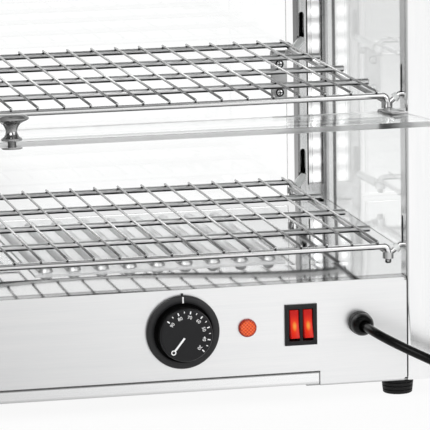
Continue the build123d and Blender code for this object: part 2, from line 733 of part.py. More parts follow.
dial_back = front_y - bezel_floor - hub_gap
dial_face = dial_back - dial_thickness
shaft_depth = 9.0
with BuildPart() as dial:
    rod_y(dial_x, control_z, dial_back, dial_face, dial_radius)
    chamfer(dial.faces().sort_by(Axis.Y)[0].edges(), 0.8)
    rod_y(dial_x, control_z, dial_back + 1, dial_back - shaft_depth, shaft_radius,
          mode=Mode.SUBTRACT)
keep(dial.part, "thermostat_dial")

thermostat_radius = 19.0
thermostat_length = 30.0
bush_length = 6.0
shaft_end = panel_back + bush_length
with BuildPart() as shaft:
    rod_y(dial_x, control_z, dial_back - shaft_depth, shaft_end, shaft_radius)
keep(shaft.part, "thermostat_shaft")

with BuildPart() as thermostat:
    rod_y(dial_x, control_z, panel_back, panel_back + thermostat_length, thermostat_radius)
    rod_y(dial_x, control_z, panel_back - 1, shaft_end + body_gap, shaft_radius + shaft_fit,
          mode=Mode.SUBTRACT)
keep(thermostat.part, "thermostat_body")

# The thermostat's sensor, below the deck beside the water tray, on a thin tube
bulb_y0 = heat_pan_y0 + 24.0
bulb_length = 66.0
capillary_x = dial_x - 8.0
capillary_y = panel_back + thermostat_length
with BuildPart() as sensor:
    rod_y(bulb_x, bulb_z, bulb_y0, bulb_y0 + bulb_length, bulb_radius)
    tube_along([(capillary_x, capillary_y, control_z), (capillary_x, capillary_y + 14, control_z),
                (bulb_x, heat_pan_y0 - 20, bulb_z), (bulb_x, bulb_y0 + 2, bulb_z)],
               [6, 10], capillary_radius)
keep(sensor.part, "thermostat_sensor")

# Indicator lamp
lamp_height = 3.4
lamp_body_length = 22.0
with BuildPart() as lens:
    rod_y(lamp_x, control_z, front_y, front_y - lamp_height, lamp_radius)
    chamfer(lens.faces().sort_by(Axis.Y)[0].edges(), 1.6)
keep(lens.part, "indicator_lens")

with BuildPart() as lamp_body:
    rod_y(lamp_x, control_z, front_y, panel_back + lamp_body_length, lamp_neck_radius)
    rod_y(lamp_x, control_z, panel_back, panel_back + 3, lamp_neck_radius + 2)
keep(lamp_body.part, "indicator_body")

# Double rocker switch
switch_body_depth = 20.0
rocker_pivot = 2.0     # behind the panel's face
rocker_front = 5.5     # from the pivot to the rocker's ends
rocker_dip = 4.2       # from the pivot to the middle of its face
rocker_back = 4.0
window_gap = 0.4
window_half = rocker_length / 2 + 1.3
window_depth = 8.0
rocker_xs = [switch_x + side * rocker_spacing / 2 for side in (-1, 1)]
with BuildPart() as switch_frame:
    with Locations((switch_x, front_y - switch_rim / 2, control_z)):
        Box(switch_width, switch_rim, switch_height)
    chamfer(switch_frame.faces().sort_by(Axis.Y)[0].edges(), 0.6)
    with Locations((switch_x, front_y + switch_body_depth / 2, control_z)):
        Box(switch_hole[0] - seam, switch_body_depth, switch_hole[1] - seam)
    for x in rocker_xs:
        slab(x - rocker_width / 2 - window_gap, x + rocker_width / 2 + window_gap,
             front_y - switch_rim - 1, front_y + window_depth, control_z - window_half,
             control_z + window_half, mode=Mode.SUBTRACT)
keep(switch_frame.part, "switch_frame")

for x, name in zip(rocker_xs, ("rocker_left", "rocker_right")):
    half = rocker_length / 2
    pivot_y = front_y + rocker_pivot
    with BuildPart() as rocker:
        with BuildSketch(Plane.YZ.offset(x - rocker_width / 2)):
            with Locations((pivot_y, control_z)):
                Polygon((-rocker_front, half), (-rocker_dip, 0), (-rocker_front, -half),
                        (-1, -half), (rocker_back, -half / 2.2), (rocker_back, half / 2.2),
                        (-1, half), align=None)
        extrude(amount=rocker_width)
    turned = rocker.part.rotate(Axis((0, pivot_y, control_z), (1, 0, 0)), -rocker_tilt)
    keep(turned, name)

# Cable gland, clamped round the lead, and its nut behind the panel
gland_nut_height = 4.0
gland_bore = cord_radius + 0.05
gland_mouth = 1.4      # wall of the gland's round end at its mouth
gland_tip = front_y - gland_length
gland_end = panel_back + gland_nut_height + 1.0
with BuildPart() as gland:
    with BuildSketch(Plane.XY.offset(gland_z)):
        with BuildLine():
            shoulder = gland_x + gland_radius
            mouth = gland_x + gland_bore + gland_mouth
            collar = front_y - 0.45 * gland_length
            Polyline((gland_x + gland_bore, gland_end), (gland_x + gland_thread_radius, gland_end),
                     (gland_x + gland_thread_radius, front_y), (shoulder, front_y),
                     (shoulder, collar))
            ThreePointArc((shoulder, collar), (gland_x + 0.86 * gland_radius, collar - 5.0),
                          (mouth, gland_tip))
            Polyline((mouth, gland_tip), (gland_x + gland_bore, gland_tip),
                     (gland_x + gland_bore, gland_end))
        make_face()
    revolve(axis=Axis((gland_x, 0, gland_z), (0, 1, 0)))
with BuildPart() as gland_nut:
    with BuildSketch(Plane.XZ.offset(-panel_back)):
        with Locations((gland_x, gland_z)):
            RegularPolygon(gland_thread_radius + 3, 6)
            Circle(gland_thread_radius, mode=Mode.SUBTRACT)
    extrude(amount=-gland_nut_height)
keep(Compound([*gland.part.solids(), *gland_nut.part.solids()]), "cable_gland")

# Mains lead, from inside the base through the gland and down to its coil on the floor.
# The points are the middle of the lead: to the right of the gland, before or behind the
# front face, and above the floor.
lead_points = [(0.0, 14.0, gland_z), (0.0, -29.0, gland_z), (15.5, -51.0, 51.0),
               (43.5, -66.0, 38.0), (70.5, -72.0, 23.0), (96.5, -73.0, 10.0),
               (122.5, -72.0, cord_radius), (154.5, -72.0, cord_radius)]
lead_route = [Vector(gland_x + x, front_y + y, z) for x, y, z in lead_points]
lead_radii = []
for before, here, after in zip(lead_route, lead_route[1:], lead_route[2:]):
    turn = radians((here - before).get_angle(after - here))
    shorter = min((here - before).length, (after - here).length)
    lead_radii.append(0.45 * shorter / tan(turn / 2))
with BuildPart() as mains_lead:
    tube_along(lead_route, lead_radii, cord_radius)
keep(mains_lead.part, "mains_lead")

# The rest of the lead, in a round coil of three columns and two layers, as one closed ring
coil_columns = 3
coil_layers = 2
coil_turn = 47.0       # radius of the outer turn
coil_x = gland_x + 158.5
coil_y = lead_route[-1].Y + coil_turn
coil_outer = coil_turn + cord_radius
coil_inner = coil_outer - 2 * coil_columns * cord_radius
coil_height = 2 * coil_layers * cord_radius
with BuildPart() as lead_coil:
    rod_z(coil_x, coil_y, 0, coil_height, coil_outer)
    rod_z(coil_x, coil_y, -1, coil_height + 1, coil_inner, mode=Mode.SUBTRACT)
keep(lead_coil.part, "lead_coil")

# Plug, which lies on the floor at the end of the coil
plug_radius = 17.5
plug_sleeve = 28.0
plug_body = 30.0
plug_chamfer = 5.0
plug_pin_radius = 2.4
plug_pin_length = 19.0
plug_pin_pitch = 19.0
sleeve_start = Vector(coil_x + coil_turn, coil_y + 17.0, coil_height - cord_radius + 1.0)
plug_x = sleeve_start.X
plug_z = plug_radius
plug_body_y = sleeve_start.Y + plug_sleeve
sleeve_run = Vector(plug_x, plug_body_y + 2.0, plug_z) - sleeve_start
with BuildPart() as plug:
    rod_y(plug_x, plug_z, plug_body_y, plug_body_y + plug_body, plug_radius)
    chamfer(plug.faces().sort_by(Axis.Y)[0].edges(), plug_chamfer)
    with Locations(Plane(origin=sleeve_start, z_dir=sleeve_run)):
        Cone(cord_radius + 1.2, cord_radius + 4.0, sleeve_run.length, align=from_base)
keep(plug.part, "plug")

with BuildPart() as plug_pins:
    for side in (-1, 1):
        pin_x = plug_x + side * plug_pin_pitch / 2
        rod_y(pin_x, plug_z, plug_body_y + plug_body, plug_body_y + plug_body + plug_pin_length,
              plug_pin_radius)
    chamfer(plug_pins.faces().filter_by(GeomType.PLANE).sort_by(Axis.Y)[-2:].edges(), 0.8)
keep(plug_pins.part, "plug_pins")

# Behind the panel: a terminal block, the supply of the light bars, and wires
floor_z = base_z + sheet
block_length = 30.0
block_depth = 24.0
block_height = 17.0
block_foot = 2.0       # the block's foot is longer at each end
block_step = 3.0       # and narrower at each side
block_foot_height = 8.0
clamp_pitch = 9.0
clamp_inset = 6.0
clamp_radius = 2.2
clamp_depth = 3.0
block_x = gland_x + 3.5
block_y = front_y + 30.0
block_back = block_y + block_depth
block_top = floor_z + block_height
clamp_xs = [block_x + i * clamp_pitch for i in (-1, 0, 1)]
clamp_ys = [block_y + clamp_inset, block_back - clamp_inset]
with BuildPart() as terminal_block:
    slab(block_x - block_length / 2, block_x + block_length / 2, block_y, block_back,
         floor_z, block_top)
    slab(block_x - block_length / 2 - block_foot, block_x + block_length / 2 + block_foot,
         block_y + block_step, block_back - block_step, floor_z, floor_z + block_foot_height)
    for x in clamp_xs:
        for y in clamp_ys:
            rod_z(x, y, block_top - clamp_depth, block_top + clamp_depth, clamp_radius,
                  mode=Mode.SUBTRACT)
keep(terminal_block.part, "terminal_block")

driver_length = 92.0
driver_width = 44.0
driver_height = 24.0
driver_corner = 3.0
driver_tab = 9.0
driver_tab_width = 32.0
driver_tab_height = 3.0
driver_x = side_x - 50.0
driver_y = front_y + 110.0
driver_end = driver_y + driver_length
with BuildPart() as led_driver:
    slab(driver_x - driver_width / 2, driver_x + driver_width / 2, driver_y, driver_end,
         floor_z, floor_z + driver_height)
    fillet(led_driver.edges().filter_by(Axis.Z), driver_corner)
    slab(driver_x - driver_tab_width / 2, driver_x + driver_tab_width / 2,
         driver_y - driver_tab, driver_end + driver_tab, floor_z, floor_z + driver_tab_height)
keep(led_driver.part, "led_driver")

# Wires, each as the corners of its route
wire_core = 1.3
wire_bend = 5.0
back_of_switch = front_y + switch_body_depth
back_of_thermostat = panel_back + thermostat_length
back_of_lamp = panel_back + lamp_body_length
clamp_y = clamp_ys[0]
lead_end_y = front_y + lead_points[0][1]
feed_y = (clamp_ys[0] + clamp_ys[1]) / 2
dial_wire_y = front_y + 46.0
dial_element_y = front_y + 60.0
bridge_y = front_y + 62.0
return_y = front_y + 52.0
lamp_wire_y = front_y + 38.0
return_z = control_z - 24.0
driver_wire_z = floor_z + driver_height / 2
near, far = element_xs[0], element_xs[3]
wire_runs = [
    [(block_x, lead_end_y, gland_z), (block_x, clamp_y, gland_z), (block_x, clamp_y, block_top)],
    [(clamp_xs[0], feed_y, block_top), (clamp_xs[0], feed_y, control_z + 2),
     (switch_x + 2.5, feed_y, control_z + 2), (switch_x + 2.5, back_of_switch, control_z + 2)],
    [(switch_x - 3.5, back_of_switch, control_z - 6), (switch_x - 3.5, dial_wire_y, control_z - 6),
     (dial_x + 6, dial_wire_y, control_z - 6), (dial_x + 6, back_of_thermostat, control_z - 6)],
    [(dial_x + 8, back_of_thermostat, control_z + 8), (dial_x + 8, dial_element_y, control_z + 8),
     (far, dial_element_y, element_z), (far, element_front, element_z)],
    [(near, element_front, element_z), (near, bridge_y, element_z),
     (-near, bridge_y, element_z), (-near, element_front, element_z)],
    [(-far, element_front, element_z), (-far, return_y, element_z), (-far + 30, return_y, return_z),
     (block_x + 7, return_y, return_z), (block_x + 7, return_y, block_top)],
    [(lamp_x, back_of_lamp, control_z), (lamp_x, lamp_wire_y, control_z),
     (switch_x - 7.5, lamp_wire_y, control_z + 4), (switch_x - 7.5, back_of_switch, control_z + 4)],
    [(driver_x - 10, driver_y, driver_wire_z), (driver_x - 10, block_back, driver_wire_z)],
]
with BuildPart() as wiring:
    for run in wire_runs:
        if len(run) > 2:
            tube_along(run, wire_bend, wire_core)
        else:
            rod_y(run[0][0], run[0][2], run[1][1], run[0][1], wire_core)
keep(wiring.part, "wiring")
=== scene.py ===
import math

import bmesh
import bpy
from mathutils import Matrix, Vector


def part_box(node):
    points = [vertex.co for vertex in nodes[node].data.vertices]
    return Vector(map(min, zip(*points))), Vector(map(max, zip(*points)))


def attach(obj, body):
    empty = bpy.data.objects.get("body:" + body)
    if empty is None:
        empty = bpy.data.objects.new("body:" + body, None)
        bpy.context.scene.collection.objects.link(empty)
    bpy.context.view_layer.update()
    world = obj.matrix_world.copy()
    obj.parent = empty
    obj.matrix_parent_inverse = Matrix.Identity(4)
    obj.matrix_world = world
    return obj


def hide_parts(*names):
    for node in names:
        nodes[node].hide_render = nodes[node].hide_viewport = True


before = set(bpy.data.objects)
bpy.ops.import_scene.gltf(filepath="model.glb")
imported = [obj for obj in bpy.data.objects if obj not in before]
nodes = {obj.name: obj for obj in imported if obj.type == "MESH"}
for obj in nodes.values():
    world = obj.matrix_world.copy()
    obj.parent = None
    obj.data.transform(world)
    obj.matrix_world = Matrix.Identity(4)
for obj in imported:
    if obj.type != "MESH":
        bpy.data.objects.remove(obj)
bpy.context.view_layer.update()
scene = bpy.context.scene
mm = 0.001
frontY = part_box("front_panel")[0].y          # outer face of the control side


def place(x, y, z):
    # millimetres, with y counted from the front face, to a point of the shared frame
    return Vector((x * mm, frontY + y * mm, z * mm))


# camera, fitted to the lines of the shelves and of the control panel; its angles are in degrees
# and its stand is in millimetres
photo = {"azimuth": -12.562, "elevation": 10.058, "roll": -0.888, "lens": 335.223,
         "stand": (-471.8, -2882.2, 671.4), "sensor": 36, "clipEnd": 50}


def makeCamera():
    azimuth, elevation, roll = (math.radians(photo[k]) for k in ("azimuth", "elevation", "roll"))
    look = Vector((-math.cos(elevation) * math.sin(azimuth),
                   math.cos(elevation) * math.cos(azimuth), -math.sin(elevation)))
    right = Vector((math.cos(azimuth), math.sin(azimuth), 0))
    up = right.cross(look)
    turnedRight = right * math.cos(roll) + up * math.sin(roll)
    turnedUp = up * math.cos(roll) - right * math.sin(roll)
    camera = bpy.data.objects.new("camera", bpy.data.cameras.new("camera"))
    camera.data.lens = photo["lens"]
    camera.data.sensor_width = photo["sensor"]
    camera.data.clip_end = photo["clipEnd"]
    turn = Matrix((turnedRight, turnedUp, -look)).transposed().to_4x4()
    camera.matrix_world = Matrix.Translation(place(*photo["stand"])) @ turn
    scene.collection.objects.link(camera)
    scene.camera = camera


# a node's output that can be used in sums
class Value:
    def __init__(self, shading, socket):
        self.shading, self.socket = shading, socket

    def join(self, operation, other=0.0, turned=False):
        pair = (other, self) if turned else (self, other)
        return self.shading.node("Math", {"operation": operation}, dict(enumerate(pair)))

    def __add__(self, other):
        return self.join("ADD", other)

    def __sub__(self, other):
        return self.join("SUBTRACT", other)

    def __rsub__(self, other):
        return self.join("SUBTRACT", other, turned=True)

    def __mul__(self, other):
        return self.join("MULTIPLY", other)

    def __abs__(self):
        return self.join("ABSOLUTE")

    __radd__ = __add__
    __rmul__ = __mul__


# what can be done in a node tree
class Shading:
    def __init__(self, tree):
        self.tree = tree
        tree.nodes.clear()

    def plug(self, socket, value):
        if isinstance(value, Value):
            self.tree.links.new(value.socket, socket)
        else:
            socket.default_value = value

    def node(self, kind, settings=None, sockets=None, out=0):
        made = self.tree.nodes.new("ShaderNode" + kind)
        for key, value in (settings or {}).items():
            if key == "stops":                # a ramp's places with their greys or colours
                ramp = made.color_ramp.elements
                while len(ramp) < len(value):
                    ramp.new(0.5)
                for stop, (at, level) in zip(ramp, value):
                    stop.position = at
                    stop.color = shade(level) if isinstance(level, (int, float)) else level
            else:
                setattr(made, key, value)
        for key, value in (sockets or {}).items():
            self.plug(made.inputs[key], value)
        return Value(self, made.outputs[out])

    def outputs(self, kind, names, sockets=None):
        first = self.node(kind, {}, sockets, out=names[0])
        return [Value(self, first.socket.node.outputs[name]) for name in names]

    def axes(self, of="Object"):
        where = self.node("TexCoord", out=of)
        return self.outputs("SeparateXYZ", ("X", "Y", "Z"), {"Vector": where})

    def axis(self, letter, of="Object"):
        return self.axes(of)["XYZ".index(letter)]

    def noise(self, scale, detail, stretch=(1, 1, 1)):
        where = self.node("TexCoord", out="Object")
        spread = self.node("Mapping", {}, {"Vector": where, "Scale": stretch})
        return self.node("TexNoise", {}, {"Vector": spread, "Scale": scale, "Detail": detail})

    def ramp(self, value, *stops):
        return self.node("ValToRGB", {"stops": stops}, {"Fac": value})

    def blend(self, factor, first, second, way="MIX"):
        return self.node("Mix", {"data_type": "RGBA", "blend_type": way},
                         {0: factor, 6: first, 7: second}, out=2)

    def length(self, *legs):
        total = legs[0] * legs[0]
        for leg in legs[1:]:
            total = total + leg * leg
        return total.join("SQRT")


# a material with one Principled shader
class Finish(Shading):
    def __init__(self, name, **sockets):
        self.material = bpy.data.materials.new(name)
        self.material.use_nodes = True
        super().__init__(self.material.node_tree)
        self.end = self.tree.nodes.new("ShaderNodeOutputMaterial")
        self.surface = self.node("BsdfPrincipled")
        self.show(self.surface)
        for socket, value in sockets.items():
            self.set(socket.replace("_", " "), value)

    def show(self, shader):
        self.plug(self.end.inputs["Surface"], shader)

    def set(self, name, value):
        self.plug(self.surface.socket.node.inputs[name], value)

    def bump(self, height, strength, distance):
        self.set("Normal", self.node("Bump", {}, {"Height": height, "Strength": strength,
                                                  "Distance": distance}))


def shade(level, tint=(1, 1, 1)):
    return (level * tint[0], level * tint[1], level * tint[2], 1)


# noise scales, the level of the painted shade on cut edges and the share of a level that bands of
# painted shade keep
steel = {"fine": 1600, "broad": 260, "cloud": 7, "alongLines": 0.02, "cool": (0.99, 0.995, 1.0),
         "cutEdgeShade": 0.12, "shaded": 0.2, "clouding": 0.04, "bump": 0.0003}
# the deck's front part is not quite flat: the reflections in it swing; in metres
bulge = {"x": 0.087, "length": 0.33, "from": 0.012, "to": 0.06}


# brushed or polished stainless sheet; the brush lines run along one axis, the cut edges of a
# sheet that faces another axis are painted dark as shade, a wide sheet is a little wavy, and
# the painted shade of folds and slits is darker bands across an axis, between two places in metres
def steelFinish(name, along, level, roughness, spread, lines, depth=0.035, sheetAxis=None,
                wavy=0.0, shadeBands=()):
    finish = Finish(name, Metallic=1.0)
    stretch = [1.0, 1.0, 1.0]
    stretch["XYZ".index(along)] = steel["alongLines"]
    fine = finish.noise(steel["fine"], 2, stretch)
    broad = finish.noise(steel["broad"], 3, stretch)
    cloud = finish.noise(steel["cloud"], 2)
    streak = fine * 0.5 + broad * 0.5
    colour = finish.blend(finish.ramp(streak, (0.35, 0), (0.65, 1)),
                          shade(level * (1 - depth), steel["cool"]), shade(level))
    # painted shade: cut edges are made dark
    if sheetAxis is not None:
        facing = abs(finish.axis(sheetAxis, "Normal"))
        colour = finish.blend(finish.ramp(facing, (0.4, 0), (0.6, 1)), shade(steel["cutEdgeShade"]),
                              colour)
    # each band is painted shade, darkening the colour between two places
    for axis, start, end, stops in shadeBands:
        at = finish.axis(axis)
        if axis == "X":
            at = abs(at)          # both sides alike
        share = finish.ramp((at - start) * (1 / (end - start)), *stops)
        colour = finish.blend(share, shade(level * steel["shaded"]), colour)
    finish.set("Base Color", colour)
    finish.set("Roughness", streak * spread + cloud * steel["clouding"]
               + (roughness - spread * 0.5 - steel["clouding"] * 0.5))
    height = streak * lines
    if wavy:
        x, y, _ = finish.axes()
        swing = (x - bulge["x"]) * (2 * math.pi / bulge["length"])
        lift = (y - (frontY + bulge["from"])).join("MINIMUM", bulge["to"])
        height = height + lift * swing.join("COSINE") * wavy
    finish.bump(height, 1.0, steel["bump"])
    return finish.material


chrome = {"stain": 90, "stained": 0.9, "spread": 0.07, "grain": 900, "grainDepth": 0.03,
          "bump": 0.0002}


# plated or polished pieces; their undersides get painted shade, darker than their tops
def chromeFinish(name, level, roughness, undersideShade=1.0):
    finish = Finish(name, Metallic=1.0)
    stain = finish.noise(chrome["stain"], 4)
    top = finish.blend(stain, shade(level * chrome["stained"]), shade(level))
    # painted shade: faces that look down take a darker level
    low = finish.ramp(finish.axis("Z", "Normal") * 0.5 + 0.5, (0.27, 0), (0.42, 1))
    finish.set("Base Color", finish.blend(low, shade(level * undersideShade), top))
    finish.set("Roughness", stain * chrome["spread"] + (roughness - chrome["spread"] * 0.5))
    finish.bump(finish.noise(chrome["grain"], 2), chrome["grainDepth"], chrome["bump"])
    return finish.material


plastic = {"mottle": 35, "paler": 1.12, "lift": 0.002, "grain": 1500, "bump": 0.0003}


def plasticFinish(name, colour, roughness, grain=0.1, spread=0.1, shine=0.5):
    finish = Finish(name, Specular_IOR_Level=shine)
    mottle = finish.noise(plastic["mottle"], 3)
    paler = tuple(min(1.0, c * plastic["paler"] + plastic["lift"]) for c in colour[:3]) + (1,)
    finish.set("Base Color", finish.blend(mottle, colour, paler))
    finish.set("Roughness", mottle * spread + (roughness - spread * 0.5))
    finish.bump(finish.noise(plastic["grain"], 2), grain, plastic["bump"])
    return finish.material


def letLampsThrough(finish, tint):
    through = finish.node("BsdfTransparent", {}, {"Color": tint})
    lampRay = finish.node("LightPath", out="Is Shadow Ray")
    finish.show(finish.node("MixShader", {}, {0: lampRay, 1: finish.surface, 2: through}))


glass = {"grain": 900, "smear": 12, "smearStretch": (1, 1, 0.4), "edgeRoughness": 0.55,
         "darkLineLevel": 0.05}


# clear glass with a few faint smears; its faces look along one axis and its edges are ground;
# between two places in metres the glass is made dark in a thin band where the rear post's lip ends,
# and a little darker behind it
def glassFinish(name, facing, tint, ior=1.5, edgeLevel=0.88, darkLine=None):
    finish = Finish(name, Transmission_Weight=1.0, IOR=ior)
    clear = finish.ramp(abs(finish.axis(facing, "Normal")), (0.55, 0), (0.85, 1))
    grain = finish.noise(glass["grain"], 2)
    edge = finish.blend(grain, shade(edgeLevel * 0.95), shade(edgeLevel * 1.05))
    colour = finish.blend(clear, edge, tint)
    if darkLine is not None:
        start, end = darkLine
        behind = (finish.axis("Y") - start) * (1 / (end - start))
        line = finish.ramp(behind, (0, 1), (0.1, 0.0), (0.36, 0.0), (0.46, 0.9), (1, 0.92))
        colour = finish.blend(line, shade(glass["darkLineLevel"]), colour)
    finish.set("Base Color", colour)
    smear = finish.ramp(finish.noise(glass["smear"], 3, glass["smearStretch"]),
                        (0.5, 0.0), (0.9, 0.012))
    finish.set("Roughness", finish.blend(clear, shade(glass["edgeRoughness"]), smear))
    letLampsThrough(finish, tint)
    return finish.material


print("finishes")
# painted shade along the panel's bottom edge
panelSteel = steelFinish("panelSteel", "X", level=0.88, roughness=0.3, spread=0.1, lines=0.05,
                         sheetAxis="Y", shadeBands=[("Z", 12 * mm, 13.5 * mm, [(0, 0.3), (1, 1)])])
# a band of painted shade along the deck's front edge
deckSteel = steelFinish("deckSteel", "X", level=0.74, roughness=0.055, spread=0.02, lines=0.008,
                        wavy=46.0, shadeBands=[("Y", frontY + 1 * mm, frontY + 17 * mm,
                                           [(0, 0.3), (0.5, 0.26), (0.74, 0), (1, 1)])])
postSteel = steelFinish("postSteel", "Z", level=0.94, roughness=0.2, spread=0.06, lines=0.03)
# painted shade along both edges of the rear post's lip
rearPostSteel = steelFinish("rearPostSteel", "Z", level=0.74, roughness=0.12, spread=0.06,
                            lines=0.03, depth=0.14,
                            shadeBands=[("X", 319 * mm, 321.4 * mm, [(0, 0.15), (0.5, 0.2), (1, 1)]),
                                   ("X", 348.2 * mm, 350 * mm, [(0, 1), (0.4, 0.1)])])
sideSteel = steelFinish("sideSteel", "Y", level=0.76, roughness=0.28, spread=0.1, lines=0.025)
roofSteel = steelFinish("roofSteel", "X", level=0.76, roughness=0.28, spread=0.08, lines=0.012,
                        depth=0.02)
traySteel = steelFinish("traySteel", "X", level=0.88, roughness=0.24, spread=0.08, lines=0.04)
# painted shade at the lip's bottom, at its top by the slit and at its ends
lipSteel = steelFinish("lipSteel", "X", level=0.96, roughness=0.26, spread=0.08, lines=0.04,
                       sheetAxis="Y", shadeBands=[("Z", 13.6 * mm, 16 * mm, [(0, 0.55), (1, 1)]),
                                             ("Z", 21.6 * mm, 22.6 * mm, [(0, 1), (0.5, 0.2)]),
                                             ("X", 248.9 * mm, 250 * mm, [(0, 1), (0.3, 0.05)])])
coverSteel = steelFinish("coverSteel", "Y", level=0.74, roughness=0.46, spread=0.06, lines=0.01,
                         depth=0.08)
dullSteel = steelFinish("dullSteel", "X", level=0.4, roughness=0.45, spread=0.15, lines=0.1)
wireChrome = chromeFinish("wireChrome", level=0.54, roughness=0.2, undersideShade=0.65)
railChrome = chromeFinish("railChrome", level=0.64, roughness=0.38, undersideShade=0.04)
endRailChrome = chromeFinish("endRailChrome", level=0.86, roughness=0.07, undersideShade=0.45)
supportChrome = chromeFinish("supportChrome", level=0.62, roughness=0.08, undersideShade=0.5)
knobChrome = chromeFinish("knobChrome", level=0.4, roughness=0.1, undersideShade=0.6)
clipSteel = chromeFinish("clipSteel", level=0.46, roughness=0.3, undersideShade=0.7)
screwSteel = chromeFinish("screwSteel", level=0.8, roughness=0.16, undersideShade=0.6)
burntSteel = chromeFinish("burntSteel", level=0.16, roughness=0.4)
weldSteel = chromeFinish("weldSteel", level=0.05, roughness=0.4)
openGlass = glassFinish("openGlass", "Z", (0.985, 0.992, 0.99, 1), ior=1.03, edgeLevel=0.6)
rearGlass = glassFinish("rearGlass", "Y", (0.99, 0.996, 0.994, 1))
sideGlass = glassFinish("sideGlass", "X", (0.958, 0.969, 0.966, 1),
                        darkLine=(frontY + 321 * mm, frontY + 342 * mm))
blackPlastic = plasticFinish("blackPlastic", (0.008, 0.008, 0.009, 1), roughness=0.4, grain=0.15,
                             shine=0.25)
markWhite = plasticFinish("markWhite", shade(0.85), roughness=0.5, grain=0.02, spread=0.05)
milkPlastic = plasticFinish("milkPlastic", (0.66, 0.67, 0.665, 1), roughness=0.28, grain=0.05)
wireSheath = plasticFinish("wireSheath", (0.3, 0.1, 0.05, 1), roughness=0.4, grain=0.05)


def dress(material, *names):
    for name in names:
        nodes[name].data.materials.clear()
        nodes[name].data.materials.append(material)


# CAD nodes that keep their shape
dress(panelSteel, "front_panel", "rear_panel")
dress(sideSteel, "side_panels")
dress(deckSteel, "deck")
dress(dullSteel, "base_pan", "heat_pan", "element_clips")
dress(coverSteel, "heater_covers")
dress(traySteel, "water_tray")
dress(lipSteel, "crumb_tray")
dress(postSteel, "post_front_left", "post_front_right")
dress(rearPostSteel, "post_rear_left", "post_rear_right")
dress(roofSteel, "roof", "ceiling")
dress(burntSteel, "heating_elements")
dress(screwSteel, "base_screws", "thermostat_sensor", "thermostat_shaft")
dress(openGlass, "front_lower_flap_glass", "front_upper_flap_glass")
dress(rearGlass, "rear_lower_flap_glass", "rear_upper_flap_glass")
dress(sideGlass, "side_glass_left", "side_glass_right")
dress(milkPlastic, "shelf_support_sleeves", "hinge_bushes", "thermostat_body",
      "terminal_block", "led_driver")
dress(supportChrome, "shelf_support_pins")
dress(wireSheath, "wiring")
dress(blackPlastic, "indicator_body")


def link(name, mesh):
    piece = bpy.data.objects.new(name, mesh)
    scene.collection.objects.link(piece)
    return piece


def finishPiece(name, bm, body, materials, replaces, smooth=35.0, move=None):
    if move is not None:
        bmesh.ops.transform(bm, matrix=move, verts=bm.verts)
    mesh = bpy.data.meshes.new(name)
    bm.to_mesh(mesh)
    bm.free()
    for material in materials:
        mesh.materials.append(material)
    mesh.polygons.foreach_set("use_smooth", [True] * len(mesh.polygons))
    mesh.set_sharp_from_angle(angle=math.radians(smooth))
    piece = link(name, mesh)
    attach(piece, body)
    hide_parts(*replaces)
    return piece


def turnAbout(point, degrees):
    # a turn about the X axis through a point
    return (Matrix.Translation(point) @ Matrix.Rotation(math.radians(degrees), 4, "X")
            @ Matrix.Translation(-point))


def soften(bm, edges, radius, segments):
    bmesh.ops.bevel(bm, geom=edges, offset=radius * mm, offset_type="OFFSET", segments=segments,
                    profile=0.5, affect="EDGES", clamp_overlap=True, material=-1)


def addBlock(bm, low, high, bevel=0.0, segments=2, material=0):
    size = high - low
    fit = (Matrix.Translation((low + high) / 2)
           @ Matrix.Diagonal((abs(size.x), abs(size.y), abs(size.z), 1)))
    made = bmesh.ops.create_cube(bm, size=1.0, matrix=fit)["verts"]
    for face in {f for v in made for f in v.link_faces}:
        face.material_index = material
    if bevel:
        soften(bm, list({e for v in made for e in v.link_edges}), bevel, segments)


# turns a line of (radius, height) in millimetres round an axis through a point
def addLathe(bm, line, centre, axis, steps, material=0):
    across = Vector(axis).normalized()
    side = across.orthogonal().normalized()
    verts = [bm.verts.new(centre + side * r * mm + across * h * mm) for r, h in line]
    edges = [bm.edges.new(pair) for pair in zip(verts, verts[1:])]
    before = set(bm.faces)
    bmesh.ops.spin(bm, geom=verts + edges, cent=centre, axis=across, angle=2 * math.pi,
                   steps=steps, use_merge=True)
    made = [f for f in bm.faces if f not in before]
    for face in made:
        face.material_index = material
    points = list({v for f in made for v in f.verts})
    bmesh.ops.remove_doubles(bm, verts=points, dist=2e-6)
    made = [f for f in bm.faces if f not in before]
    bmesh.ops.recalc_face_normals(bm, faces=made)
    return made


# a flattened ball, such as a drop of weld
def addDrop(bm, middle, radius, squash):
    bmesh.ops.create_uvsphere(bm, u_segments=8, v_segments=5, radius=radius * mm,
                              matrix=Matrix.Translation(middle) @ Matrix.Diagonal((*squash, 1)))


